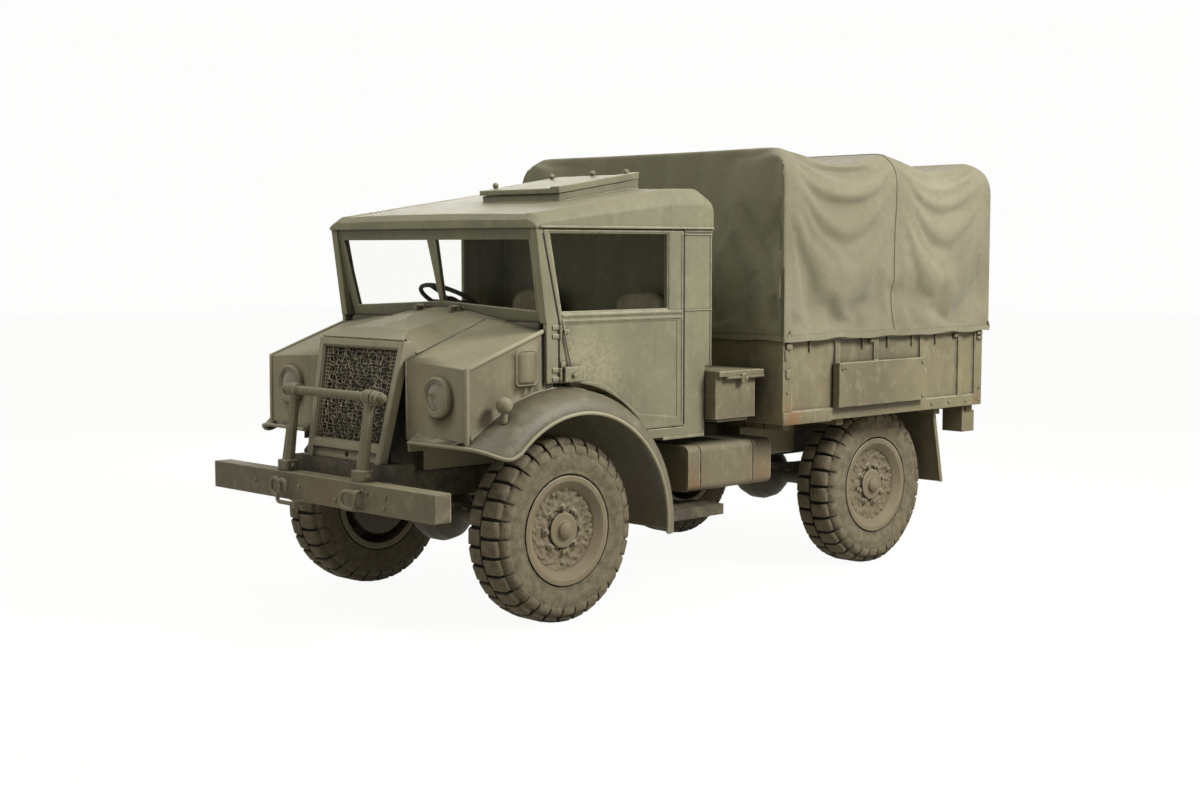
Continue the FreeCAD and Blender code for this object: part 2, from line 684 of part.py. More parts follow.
# Across the arch: X, radius about the axle, Y and Z of the front tip.
ARCH = ((ARCH_IN, 733.0, -660.0, 952.0), (850.0, 733.0, -615.0, 950.0),
        (940.0, 727.0, -592.0, 945.0), (1000.0, 710.0, -555.0, 932.0),
        (1032.0, 694.0, -525.0, 915.0), (1040.0, 685.0, -508.0, 903.0))
ARCH_OPEN = 610.0
ARCH_HEM = 409.0


def arch_wire(x, radius, tip_y, tip_z, inset):
    r = radius - inset
    top = AXLE_Z + math.sqrt(r * r - 60.0 ** 2)
    mid = AXLE_Z + math.sqrt(radius * radius - 330.0 ** 2) - 3 - 1.1 * inset
    low = (r * math.cos(math.radians(14)), AXLE_Z - r * math.sin(math.radians(14)))
    half = r * math.sqrt(0.5)
    y, z = tip_y - 4.0 * inset, tip_z - 3.2 * inset
    a, b, c = (x, y, z), (x, -330, mid), (x, -60, top)
    d, e, f = (x, half, AXLE_Z + half), (x, low[0], low[1]), (x, y, low[1])
    return Part.Wire([arc(a, b, c), arc(c, d, e), line(e, f), line(f, a)])


def arch_outer():
    return loft([arch_wire(*row, 0.0) for row in ARCH])


def front_wing():
    outer = arch_outer()
    rows = [(x + (SHEET if i == 0 else 0), r, y, z)
            for i, (x, r, y, z) in enumerate(ARCH[:-1])]
    inner = loft([arch_wire(*row, SHEET) for row in rows])
    opening = rod((1000, 0, AXLE_Z), (1100, 0, AXLE_Z), ARCH_OPEN)
    front = prism_x([(-700, 300), (-400, 300), (-400, 990), (-520, 925), (-700, 925)],
                    1000, 1100)
    arch = cut(outer, [inner, opening, front])
    arch = arch.cut(box(900, 1100, -900, 900, 0, ARCH_HEM))
    arch = arch.cut(box(400, 900, -900, 580, 0, RAIL_TOP + 8))
    arch = arch.cut(box(400, 900, 580, 900, 0, ARCH_HEM))
    arch = arch.cut(box(400, 460, 580, 900, 0, RAIL_TOP + 8))
    arch = arch.cut(box(400, 1100, -700, -560, 0, 900))
    return fuse([arch, wing_box().cut(outer)] + [b.cut(outer) for b in wing_beads()])


HATCH_Y = (-279.0, -155.0)        # small hatch in the wing's flat side
HATCH_Z = (1238.0, 1399.0)
BEAD = 5.0                        # rolled edge of a panel


def wing_beads():
    """Rolled front edges of the lamp panel and the hatch in the wing's side."""
    cover = box(WING_X - 1, WING_X + 3, *HATCH_Y, *HATCH_Z)
    rim = box(WING_X - 1, WING_X + 5, HATCH_Y[0] - 9, HATCH_Y[1] + 9, HATCH_Z[0] - 9,
              HATCH_Z[1] + 9)
    room = box(WING_X - 9, WING_X + 9, HATCH_Y[0] - 3, HATCH_Y[1] + 3, HATCH_Z[0] - 3,
               HATCH_Z[1] + 3)
    rim = round_along(rim, "x", 24).cut(round_along(room, "x", 18))
    y = WING_FRONT
    outer = rod((WING_X, y, 950), (WING_X, y, 1327), BEAD)
    inner = rod((362 + BEAD, y, 950), (362 + BEAD, y, 1350), BEAD)
    return [round_along(cover, "x", 14), rim, outer, inner]


def wing_quad(y, x0, x1, z0, z1, z2):
    corners = [vec(x0, y, z0), vec(x1, y, z0), vec(x1, y, z1), vec(x0, y, z2)]
    return Part.makePolygon(corners + corners[:1])


def wing_box():
    """Lamp panel, flat side and sloping top of the left wing."""
    rear = COWL_Y
    solid = loft([wing_quad(WING_FRONT, 362, WING_X, 950, 1327, 1352),
                  wing_quad(rear, 407, WING_X, 950, 1503, 1550)])
    room = loft([wing_quad(WING_FRONT + SHEET, 330, WING_X - SHEET, 940, 1319, 1344),
                 wing_quad(rear + 1, 375, WING_X - SHEET, 940, 1495, 1542)])
    return solid.cut(room)


def headlamp(x):
    """Housing with a double bezel, and the lens that lies in it."""
    r = LAMP_R
    housing = [(0, 0), (0, r), (20, r), (32, r - 5), (36, r - 12), (32, r - 18),
               (29, r - 22), (34, r - 26), (29, r - 31), (12, r - 31), (12, 0)]
    lens = [(12, 0), (12, r - 31 - SEAT_GAP), (24, r - 31 - SEAT_GAP), (29, 48), (31, 0)]
    return [spun(outline, x, WING_FRONT, LAMP_Z) for outline in (housing, lens)]


def side_lamp():
    """Left-hand ball lamp on a stem that stands on the wing."""
    x, y, z = SIDE_LAMP
    lamp = fuse([ball(x, y, z, 42), rod((x, y, z - 109), (x, y, z), 16)])
    return lamp.cut(arch_outer())


def lamps():
    left = side_lamp()
    return group(headlamp(-LAMP_X) + headlamp(LAMP_X) + [left, mirror(left)])


# Bonnet sections: Y, seam X and Z, shoulder X and Z, crown Z.
BONNET = ((-606.0, 356.0, 1356.0, 350.0, 1455.0, 1457.0),
          (-500.0, 366.0, 1394.0, 255.0, 1499.0, 1508.0),
          (COWL_Y - GAP, 398.0, 1546.0, 230.0, 1577.0, 1596.0))


def bonnet_wire(y, sx, sz, hx, hz, cz, t):
    low = sz - 4 * t
    points = [(-sx + t, low), (-sx + t, sz - t), (-hx, hz - t), (0, cz - t), (hx, hz - t),
              (sx - t, sz - t), (sx - t, low)]
    corners = [vec(x, y, z) for x, z in points]
    return Part.makePolygon(corners + corners[:1])


def bonnet():
    skin = loft([bonnet_wire(*row, 0.01) for row in BONNET])
    rows = [(row[0] + (SHEET if i == 0 else 9 * (i == 2)),) + row[1:]
            for i, row in enumerate(BONNET)]
    room = loft([bonnet_wire(*row, SHEET) for row in rows])
    clear = grille_slab(GRILLE_BOT, GRILLE_TOP + 2, -8, -8, 150)
    clear = clear.cut(bonnet_sweep(shell_reach() - GAP))
    return fuse([cut(skin, [room, clear])] + bonnet_hinge()[1])


# ---- cab -----------------------------------------------------------------
def screen_y(z):
    return -58.0 - 0.2103 * (z - 1552.0)


def screen_sheet(points, back, depth):
    return sheet3d([(x, screen_y(z) + back, z) for x, z in points], (0, depth, 0))


PANE = ((35.0, ROOF_BASE - 58.0), (CAB_HALF - 83.0, ROOF_BASE - 58.0),
        (CAB_HALF - 112.0, 1599.0), (15.0, 1635.0))
COWL_TOP = ((-WING_X, 1495.0), (-407.0, 1550.0), (-230.0, 1580.0), (0.0, 1600.0),
            (230.0, 1580.0), (407.0, 1550.0), (WING_X, 1495.0))


def windscreen_frame():
    foot, head = CAB_HALF - 62, CAB_HALF - 4
    outline = [(-foot, 1540), (foot, 1540), (head, ROOF_BASE), (-head, ROOF_BASE)]
    frame = screen_sheet(outline, 0, 26)
    for side in (-1, 1):
        frame = frame.cut(screen_sheet([(side * x, z) for x, z in PANE], -9, 60))
    edge = DOOR_FRONT - GAP
    pillar = prism_x([(screen_y(ROOF_BASE) - 14, ROOF_BASE), (-103, 1540), (edge, 1540),
                      (edge, BELT_Z), (edge - (ROOF_BASE - BELT_Z) / DOOR_LEAN, ROOF_BASE)],
                     CAB_HALF - 45, CAB_HALF)
    return [frame, pillar, mirror(pillar)]


def windscreen_glass():
    panes = []
    for side in (-1, 1):
        panes.append(screen_sheet([(side * x, z) for x, z in PANE], 13, 5))
    return group(panes)


def cowl():
    """Bulkhead and the top of the scuttle."""
    under = [(x, z - SHEET) for x, z in COWL_TOP]
    wall = prism_y([(-WING_X, 905)] + list(COWL_TOP) + [(WING_X, 905)], COWL_Y, COWL_Y + 10)
    top = prism_y(list(COWL_TOP) + under[::-1], COWL_Y, -36)
    side = box(WING_X - 18, WING_X, COWL_Y, -36, 1213, 1500)
    arch = arch_outer()
    tunnel = box(-250, 250, COWL_Y - 9, COWL_Y + 19, 800, 1290)
    wall = cut(wall, [tunnel, arch, mirror(arch)])
    return [wall, top, side, mirror(side)]


def cab_side():
    """Left corner panels, sill and belt post round the door opening."""
    x0, x1 = CAB_HALF - CAB_WALL, CAB_HALF
    post = prism_x([(COWL_Y, 1236), (DOOR_FRONT - GAP, 1236), (DOOR_FRONT - GAP, 1560),
                    (-100, 1560)], WING_X, x1)
    rear = DOOR_REAR + GAP
    corner = prism_x([(rear, FLOOR_TOP), (CAB_BACK_LOW, FLOOR_TOP),
                      (CAB_BACK_LOW, CAB_STEP_Z), (CAB_BACK, CAB_STEP_Z),
                      (CAB_BACK, ROOF_BASE), (rear, ROOF_BASE)], x0, x1)
    sill = box(x0, x1, 630, rear, FLOOR_TOP, DOOR_BOT - GAP)
    return [post, corner, sill]


def cab_shell():
    parts = windscreen_frame() + cowl()
    for part in cab_side():
        parts += [part, mirror(part)]
    inner = CAB_HALF - 1
    back = [(CAB_BACK_LOW - 12, FLOOR_TOP), (CAB_BACK_LOW, FLOOR_TOP),
            (CAB_BACK_LOW, CAB_STEP_Z), (CAB_BACK, CAB_STEP_Z), (CAB_BACK, ROOF_BASE),
            (CAB_BACK - 12, ROOF_BASE), (CAB_BACK - 12, CAB_STEP_Z + 12),
            (CAB_BACK_LOW - 12, CAB_STEP_Z + 12)]
    parts.append(prism_x(back, -inner, inner))
    for part in door_hinge()[0]:
        parts += [part, mirror(part)]
    return fuse(parts + bonnet_hinge()[0])


def cab_floor():
    t = 15.0
    z0 = FLOOR_TOP - t
    inner = ARCH_IN - 1
    front = box(-inner, inner, COWL_Y + 10, 745, z0, FLOOR_TOP)
    rear = box(-CAB_HALF, CAB_HALF, 745, CAB_BACK_LOW, z0, FLOOR_TOP)
    cover = box(-250, 250, COWL_Y + 10, 420, z0, 1290)
    room = box(-238, 238, COWL_Y, 408, z0 - 9, 1278)
    parts = [fuse([front, rear, cover]).cut(room)]
    mounts = [box(x - 20, x + 20, y - 30, y + 30, RAIL_TOP, z0)
              for x in (-400, 400) for y in (180, 940)]
    risers = [box(x - 200, x + 200, 640, 1040, FLOOR_TOP, 1120) for x in (-450, 450)]
    column = rod(*COLUMN, 22)
    column = column.cut(box(-900, 0, -200, COWL_Y + 10, 800, 1300))
    low, high = vec(*COLUMN[0]), vec(*COLUMN[1])
    shaft = Part.makeCylinder(10, 36, high, high - low)
    return fuse(parts + mounts + risers + [column, shaft])


COLUMN = ((-380.0, -85.0, 905.0), (-380.0, 300.0, 1590.0))
STEER_R = 195.0


def steering_wheel():
    low, high = vec(*COLUMN[0]), vec(*COLUMN[1])
    axis = (high - low).normalize()
    centre = high + axis * 30
    side = vec(1, 0, 0)
    rim = Part.Face(eight(centre + side * STEER_R, side, axis, 13)).revolve(centre, axis, 360)
    hub = Part.makeCylinder(36, 46, high + axis * SEAT_GAP, axis)
    across = axis.cross(side)
    spokes = []
    for run in (side, side * -1, across, across * -1):
        spokes.append(Part.makeCylinder(9, STEER_R, centre, run))
    bore = Part.makeCylinder(10 + FIT, 40, high, axis)
    return fuse([rim, hub] + spokes).cut(bore)


SEAT_TOP = 1235.0
SEAT_REAR = 1010.0
SEAT_ROUND = 28.0


def seat_back(x):
    """Bucket back with a rounded top, leaning a little to the rear."""
    low, high, half, r = SEAT_TOP + SEAT_GAP, 1700, 210, 150
    k, y = r * (1 - math.sqrt(0.5)), 960
    left, right = x - half, x + half
    edges = [line((left, y, low), (right, y, low)), line((right, y, low), (right, y, high - r)),
             arc((right, y, high - r), (right - k, y, high - k), (right - r, y, high)),
             line((right - r, y, high), (left + r, y, high)),
             arc((left + r, y, high), (left + k, y, high - k), (left, y, high - r)),
             line((left, y, high - r), (left, y, low))]
    slab = Part.Face(Part.Wire(edges)).extrude(vec(0, 72, 0))
    slab = slab.makeFillet(26, slab.Edges)
    slab.rotate(vec(x, SEAT_REAR - SEAT_ROUND, low), vec(1, 0, 0), -3)
    return slab


def seats():
    parts = []
    for x in (-450, 450):
        cushion = box(x - 210, x + 210, 600, SEAT_REAR, 1120 + SEAT_GAP, SEAT_TOP)
        parts += [cushion.makeFillet(SEAT_ROUND, cushion.Edges), seat_back(x)]
    return group(parts)


# Roof sections: Y, height of the side over the roof's base, how far the shoulder lies
# inside the cab's side, height of the shoulder and of the crown.
ROOF = ((-178.0, 12.0, 110.0, 40.0, 46.0), (-140.0, 24.0, 120.0, 70.0, 78.0),
        (330.0, 78.0, 125.0, 140.0, 150.0), (850.0, 130.0, 125.0, 216.0, 230.0),
        (1060.0, 133.0, 125.0, 220.0, 234.0), (1132.0, 100.0, 110.0, 176.0, 188.0))


def roof_wire(y, side, inward, shoulder, crown, base, inset):
    half = CAB_HALF + 6 - inset
    side_z = ROOF_BASE + side - inset * 0.5
    sz, crown = ROOF_BASE + shoulder - inset, ROOF_BASE + crown - inset
    sx = CAB_HALF - inward - inset * 0.3
    mid_x = sx + 0.74 * (half - sx)
    mid_z = side_z + 0.70 * (sz - side_z)
    a, b, c = (half, y, base), (half, y, side_z), (mid_x, y, mid_z)
    d = (sx, y, sz)
    e, f, g = (-sx, y, sz), (-mid_x, y, mid_z), (-half, y, side_z)
    h = (-half, y, base)
    edges = [line(a, b), arc(b, c, d), arc(d, (0, y, crown), e), arc(e, f, g),
             line(g, h), line(h, a)]
    return Part.Wire(edges)


def cab_roof():
    skin = loft([roof_wire(*row, ROOF_BASE, 0.0) for row in ROOF])
    rows = [(row[0] + 12 * ((i == 0) - (i == len(ROOF) - 1)),) + row[1:]
            for i, row in enumerate(ROOF)]
    room = loft([roof_wire(*row, ROOF_BASE - 20, 12.0) for row in rows])
    x0, x1, y0, y1 = HATCH
    high = ROOF_BASE + 480
    frame = box(x0, x1, y0, y1, ROOF_BASE + 100, high)
    lean = prism_x([(y0 - 99, hatch_z(y0 - 99)), (y1 + 99, hatch_z(y1 + 99)),
                    (y1 + 99, high + 9), (y0 - 99, high + 9)], x0 - 9, x1 + 9)
    roof = fuse([skin.cut(room), cut(frame, [lean, room])])
    hole = box(x0 + 30, x1 - 30, y0 + 30, y1 - 30, ROOF_BASE - 20, high)
    half = CAB_HALF + 6
    gutter = box(half - 1, half + 7, ROOF[0][0] + 30, ROOF[-1][0], ROOF_BASE, ROOF_BASE + 9)
    return fuse([roof.cut(hole), gutter, mirror(gutter)] + hatch_hinge()[0])


def hatch_z(y):
    return ROOF_BASE + 95.0 + 0.155 * y + HATCH_RISE


# X and Y of the knobs on the hatch lid.
HATCH_KNOBS = ((HATCH[0] + 40, HATCH[2] + 60), (HATCH[0] + 90, HATCH[3] - 150),
               (HATCH[0] + 330, HATCH[3] - 60), (HATCH[1] - 20, HATCH[3] - 70))


def hatch_lid():
    x0, x1, y0, y1 = HATCH
    y0, y1 = y0 - 12, y1 - 6
    z0, z1 = hatch_z(y0) + GAP, hatch_z(y1) + GAP
    low, high = z0 + HATCH_T - 1, z1 + HATCH_T - 1
    plate = prism_x([(y0, z0), (y1, z1), (y1, high + 1), (y0, low + 1)], x0 - 12, x1 + 12)
    board = prism_x([(y0, low), (y1, high), (y1, high + 11), (y0, low + 11)], x1 - 60, x1 + 12)
    knobs = []
    for x, y in HATCH_KNOBS:
        z = hatch_z(y) + GAP + HATCH_T
        knobs += [rod((x, y, z - 6), (x, y, z + 14), 11), ball(x, y, z + 18, 17)]
    return fuse([plate, board] + knobs + hatch_hinge()[1])


def door():
    x0, x1 = CAB_HALF - DOOR_T, CAB_HALF
    a, b = (x0, DOOR_FRONT, 1232), (x0, 610, DOOR_BOT)
    rest = [b, (x0, DOOR_REAR, DOOR_BOT), (x0, DOOR_REAR, DOOR_TOP),
            (x0, DOOR_FRONT - (DOOR_TOP - BELT_Z) / DOOR_LEAN, DOOR_TOP),
            (x0, DOOR_FRONT, BELT_Z), a]
    edges = [arc(a, (x0, 290, 1186), b)]
    edges += [line(p, q) for p, q in zip(rest, rest[1:])]
    slab = Part.Face(Part.Wire(edges)).extrude(vec(DOOR_T, 0, 0))
    head = DOOR_TOP - 17
    window = prism_x([(7, 1597), (780, 1597), (780, head),
                      (7 - (head - 1597) / 4.889, head)], x0 - 9, x1 + 9)
    panel = prism_x([(28, 1250), (300, 1215), (560, 1040), (852, 1005), (852, 1532),
                     (28, 1532)], x1 - 3, x1 + 9)
    channel = prism_x([(-3, 1587), (790, 1587), (790, head + 8),
                       (-3 - (head - 1587) / 4.889, head + 8)], x1 - 5, x1 + 9)
    block = box(x1 - 2, x1 + 28, 4, 139, 1239, 1315)
    beads = [box(x1 - 1, x1 + 4, DOOR_FRONT + 16, DOOR_REAR - 14, z, z + 12)
             for z in (BELT_Z - 8, BELT_Z + 20)]
    beads.append(box(x1 - 1, x1 + 4, DOOR_REAR - 14, DOOR_REAR - 4, DOOR_BOT + 30, head))
    return fuse([cut(slab, [window, panel, channel]), block] + beads + door_hinge()[1])


# ---- bed, tilt and side fittings ----------------------------------------
def bed_floor():
    half = BED_HALF - 40
    rear = BED_REAR - GATE_T - 2 * GAP
    deck = box(-half, half, BED_FRONT + 30, rear, BED_FLOOR - 30, BED_FLOOR)
    parts = [deck]
    low = BED_BOT - BEARER_DROP
    between = TRACK_HALF - TYRE_HALF - 25      # the middle bearer ends inside the wheels
    for y, w in ((BED_FRONT + 50, half), (WHEELBASE - 545, half),
                 (WHEELBASE - 65, between), (WHEELBASE + 415, half), (BED_REAR - 100, half)):
        parts.append(box(-w, w, y, y + BEARER_W, low, BED_FLOOR - 29))
    for x in (-400, 400):
        parts.append(box(x - 30, x + 30, BED_FRONT + 30, rear - 6, RAIL_TOP, low + 1))
    return fuse(parts + gate_hinge()[0])


def bed_side():
    """Left side board with its ribs, posts, rails and flat locker."""
    x1 = BED_HALF
    parts = [box(x1 - 36, x1 - 14, BED_FRONT, BED_REAR, BED_BOT, BED_TOP),
             box(x1 - 40, x1, BED_FRONT, BED_REAR, BED_BOT, BED_FLOOR),
             box(x1 - 36, x1, BED_FRONT, BED_REAR, 1395, BED_TOP)]
    for y, w in ((BED_FRONT, 80), (WHEELBASE - 609, 40), (WHEELBASE - 248, 40),
                 (WHEELBASE + 208, 40), (WHEELBASE + 609, 40), (BED_REAR - 80, 80)):
        parts.append(box(x1 - 36, x1, y, y + w, BED_BOT, BED_TOP))
    front, rear = WHEELBASE - 626, WHEELBASE + 220
    outline = [(front, 1004), (rear, 1004), (rear, 1176), (rear - 24, 1196),
               (rear - 24, 1260), (front, 1260)]
    return fuse(parts), prism_x(outline, x1 + SEAT_GAP, x1 + 45)


def bed_sides():
    board, locker = bed_side()
    head = box(-(BED_HALF - 36), BED_HALF - 36, BED_FRONT, BED_FRONT + 28, BED_BOT, BED_TOP)
    body = fuse([board, mirror(board), head])
    return group([body, locker, mirror(locker)])


def tailgate():
    half = BED_HALF - 36 - GAP
    y1 = BED_REAR
    y0 = y1 - GATE_T
    parts = [box(-half, half, y0, y1, GATE_BOT, GATE_TOP)]
    for x in (-900, -450, 450, 900):
        parts.append(box(x - 22, x + 22, y1 - 1, y1 + 14, GATE_BOT, GATE_TOP))
    return fuse(parts + gate_hinge()[1])


# Tilt sections: Y, half width, top Z, and how much of the cloth's thickness the inner
# skin lies behind the outer one.
TILT = ((TILT_FRONT, TILT_HALF - 9.2, 2424.0, 1), (TILT_FRONT + 12, TILT_HALF - 4, 2458.0, 1),
        (TILT_FRONT + 40, TILT_HALF, 2479.0, 1), (TILT_FRONT + 84, TILT_HALF, 2482.0, 0),
        (WHEELBASE - 565, TILT_HALF - 6, 2446.0, 0), (WHEELBASE - 65, TILT_HALF, 2476.0, 0),
        (WHEELBASE + 385, TILT_HALF - 7, 2408.0, 0), (TILT_REAR - 80, TILT_HALF, 2448.0, 0),
        (TILT_REAR - 20, TILT_HALF - 2, 2442.0, -1), (TILT_REAR, TILT_HALF - 8, 2414.0, -1))
TILT_CORNER = 170.0


def tilt_wire(y, half, top, hem, inset):
    half, top = half - inset, top - inset
    r = TILT_CORNER
    k = r * (1 - math.sqrt(0.5))
    a, b = (half, y, hem), (half, y, top - r)
    c, d = (half - k, y, top - k), (half - r, y, top)
    e, f = (r - half, y, top), (k - half, y, top - k)
    g, h = (-half, y, top - r), (-half, y, hem)
    return Part.Wire([line(a, b), arc(b, c, d), line(d, e), arc(e, f, g), line(g, h),
                      line(h, a)])


def tilt():
    skin = loft([tilt_wire(*row[:3], TILT_HEM, 0.0) for row in TILT])
    room = [tilt_wire(y + push * TILT_T, half, top, TILT_HEM - 9, TILT_T)
            for y, half, top, push in TILT]
    return skin.cut(loft(room))


def tilt_bow(y, top):
    """Two straight legs, and the bow that sits on their ends."""
    half = BED_HALF - 36 - BOW_R - SEAT_GAP
    z = top - TILT_T - BOW_R - 8
    r = TILT_CORNER - 20
    k = r * (1 - math.sqrt(0.5))
    path = Part.Wire([
        arc((half, y, z - r), (half - k, y, z - k), (half - r, y, z)),
        line((half - r, y, z), (r - half, y, z)),
        arc((r - half, y, z), (k - half, y, z - k), (-half, y, z - r))])
    ring = Part.Wire(Part.makeCircle(BOW_R, vec(half, y, z - r), vec(0, 0, 1)))
    leg = rod((half, y, BED_FLOOR + 10), (half, y, z - r), BOW_R)
    return [path.makePipeShell([ring], True, False), leg, mirror(leg)]


def tilt_bows():
    parts = []
    for y, top in ((BED_FRONT + 70, 2470.0), (WHEELBASE - 65, 2468.0),
                   (BED_REAR - 50, 2436.0)):
        parts += tilt_bow(y, top)
    return group(parts)


def fuel_tank():
    """Rounded tank with a neck for each strap, held to the rail by two brackets."""
    x0, x1, y0, y1, z0, z1 = TANK
    core = round_along(box(x0 + 7, x1 - 7, y0 + 9, y1 - 9, z0 + 7, z1 - 7), "y", 36)
    shell = round_along(box(*TANK), "y", 40)
    brackets = []
    for y in (y0 + 98, y1 - 154):
        shell = shell.cut(box(x0 - 9, x1 + 9, y - 6, y + 6, z0 - 9, z1 + 9))
        brackets.append(box(RAIL_OUT, x0 + 20, y - 22, y + 22, z0 + 60, z1 - 50))
    return fuse([core, shell] + brackets)


def battery_box():
    """Side box behind the tank, inside the line of the rear wheel."""
    y0, y1 = TANK[3] + 60, WHEELBASE - 415
    shell = round_along(box(RAIL_OUT + 18, 612, y0, y1, 690, 888), "y", 28)
    parts = [shell]
    for y in (y0 + 60, y0 + 240):
        parts.append(box(RAIL_OUT, RAIL_OUT + 20, y, y + 40, 700, RAIL_TOP - 4))
    return fuse(parts)


def fuel_tanks():
    tank, case = fuel_tank(), battery_box()
    return group([tank, mirror(tank), case, mirror(case)])


def steps():
    plate = box(700, 950, 737, 1145, 496, 510)
    rim = box(936, 950, 737, 1145, 452, 510)
    arms = []
    for y in (790, 1085):
        arms.append(box(RAIL_OUT, 720, y, y + 45, 478, 496))
        arms.append(box(RAIL_OUT, RAIL_OUT + 12, y, y + 45, 478, 700))
    return both(fuse([plate, rim] + arms))


def toolbox():
    x0, x1, y0, y1, z0, z1 = BOX
    t = 6.0
    body = box(*BOX).cut(box(x0 + t, x1 - t, y0 + t, y1 - t, z0 + t, z1 + t))
    strip = box(x0, x1 + 30, y0, LID_FRONT - GAP, z1, z1 + 30)
    shelf = box(RAIL_IN + 5, x1 - 20, y0 + 40, y1 - 40, z0 - 18, z0)
    leg = box(RAIL_IN + 5, RAIL_OUT - 5, y0 + 60, y1 - 60, RAIL_TOP, z0 - 17)
    return fuse([body, strip, shelf, leg] + box_hinge()[0])


def toolbox_lid():
    x0, x1, y0, y1, z0, z1 = BOX
    y0, mid = LID_FRONT, (LID_FRONT + y1) / 2
    lid = box(x0, x1 + 30, y0, y1 + 40, z1 + GAP, z1 + 30)
    lip = box(x1 + GAP + 1, x1 + 30, y0, y1 + 40, z1 - 14, z1 + 6)
    hasp = box(x1 + 29, x1 + 40, mid - 18, mid + 18, z1 - 40, z1 + 12)
    return fuse([lid, lip, hasp] + box_hinge()[1])


def rear_mudguard():
    bearer = WHEELBASE + 415 + BEARER_W          # rear face of the bearer that carries it
    front, foot = (bearer, BED_BOT), (bearer + 96, 455.0)
    sheet = prism_x([front, (front[0] + 8, front[1]), (foot[0] + 8, foot[1]), foot],
                    650, 1000)
    under = BED_BOT - BEARER_DROP - 5
    lip_y = bearer + 96 * (BED_BOT - under) / (BED_BOT - foot[1])
    lip = prism_x([(lip_y - 18, under), (lip_y + 8, under),
                   (foot[0] + 8, foot[1]), (foot[0] - 18, foot[1])], 992, 1000)
    front_y, low = BED_REAR - 130, BED_BOT - BEARER_DROP
    carrier = box(880, 1030, front_y, BED_REAR - 2, 760, low)
    tab = box(880, 1030, front_y, front_y + 20, 760, BED_BOT)
    return fuse([sheet, lip]), fuse([carrier, tab])


def rear_mudguards():
    parts = []
    for part in rear_mudguard():
        parts += [part, mirror(part)]
    return group(parts)


# ---- export --------------------------------------------------------------
def nodes():
    left_door, left_knuckle = door(), knuckle()
    left_wing, left_lid = front_wing(), toolbox_lid()
    rows = {
        "frame_rails": frame_rails(), "front_bumper": front_bumper(),
        "grille_guard": grille_guard(), "radiator_shell": radiator_shell(),
        "grille_mesh": grille_mesh(), "radiator": radiator(), "engine": engine(),
        "driveline": driveline(), "front_axle": front_axle(), "rear_axle": rear_axle(),
        "wing_left": left_wing, "wing_right": mirror(left_wing), "lamps": lamps(),
        "bonnet": bonnet(), "cab_floor": cab_floor(), "cab_shell": cab_shell(),
        "cab_roof": cab_roof(), "windscreen_glass": windscreen_glass(),
        "hatch_lid": hatch_lid(), "door_left": left_door, "door_right": mirror(left_door),
        "seats": seats(), "steering_wheel": steering_wheel(), "toolboxes": both(toolbox()),
        "toolbox_lid_left": left_lid, "toolbox_lid_right": mirror(left_lid),
        "fuel_tanks": fuel_tanks(), "steps": steps(), "bed_floor": bed_floor(),
        "bed_sides": bed_sides(), "tailgate": tailgate(), "tilt": tilt(),
        "tilt_bows": tilt_bows(), "rear_mudguards": rear_mudguards(),
        "knuckle_left": left_knuckle, "knuckle_right": mirror(left_knuckle),
        "tie_rod": tie_rod()}
    left_tyre = tyre()
    for name, y, side in (("front_left", 0.0, 1), ("front_right", 0.0, -1),
                          ("rear_left", WHEELBASE, 1), ("rear_right", WHEELBASE, -1)):
        one = left_tyre.copy() if side > 0 else mirror(left_tyre)
        one.translate(vec(side * TRACK_HALF, y, AXLE_Z))
        rows["tyre_" + name] = one
        rows["wheel_" + name] = wheel(side * TRACK_HALF, y, side)
    return rows


def main():
    os.makedirs("parts", exist_ok=True)
    for name, shape in nodes().items():
        shape = shape.copy()
        shape.translate(vec(0, -Y_MID, 0))
        shape.exportStep("parts/" + name + ".step")
        b = shape.BoundBox
        print("%-18s %d solids %s  %8.2f L  x %.0f %.0f  y %.0f %.0f  z %.0f %.0f" % (
            name, len(shape.Solids), shape.isValid(), shape.Volume / 1e6, b.XMin, b.XMax,
            b.YMin, b.YMax, b.ZMin, b.ZMax))


main()
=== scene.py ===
# %% [markdown]
# A light military cargo truck, dressed for a portrait. The solid parts (frame, cab, bed,
# wheels) come from the engineering model and keep their size and place. Blender gives them
# their finishes, and adds what solids with few faces cannot show: the folds of the canvas,
# the tread of the tyres, the round shoulders of the wings, the wires of the stone guard,
# padded seats, lenses, bolts, beads, latches, seals and mud.

# %% Load the engineering model
import math

import bmesh
import bpy
from mathutils import Matrix, Vector, noise


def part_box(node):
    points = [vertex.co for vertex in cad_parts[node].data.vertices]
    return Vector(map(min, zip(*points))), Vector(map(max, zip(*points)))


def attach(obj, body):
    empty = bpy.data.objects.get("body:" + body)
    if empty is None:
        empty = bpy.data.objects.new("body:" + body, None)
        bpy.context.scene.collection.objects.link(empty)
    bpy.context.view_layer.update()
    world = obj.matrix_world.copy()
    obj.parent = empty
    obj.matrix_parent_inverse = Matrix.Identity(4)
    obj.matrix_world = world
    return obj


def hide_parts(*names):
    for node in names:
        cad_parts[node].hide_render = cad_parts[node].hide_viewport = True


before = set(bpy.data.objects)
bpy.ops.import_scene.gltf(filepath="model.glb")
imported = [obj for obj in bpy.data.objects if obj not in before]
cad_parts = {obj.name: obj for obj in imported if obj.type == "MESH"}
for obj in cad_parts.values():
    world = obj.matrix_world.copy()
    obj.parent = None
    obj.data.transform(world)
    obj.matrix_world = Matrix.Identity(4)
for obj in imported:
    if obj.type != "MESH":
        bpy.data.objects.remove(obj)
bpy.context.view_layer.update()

bpy.ops.object.select_all(action="DESELECT")
bpy.context.scene.view_settings.view_transform = "Standard"

# %% [markdown]
# Every later piece is placed from the front axle, as lengths on a real truck are. Its
# centre is read from the box of a front wheel, so the pieces follow if the model moves.

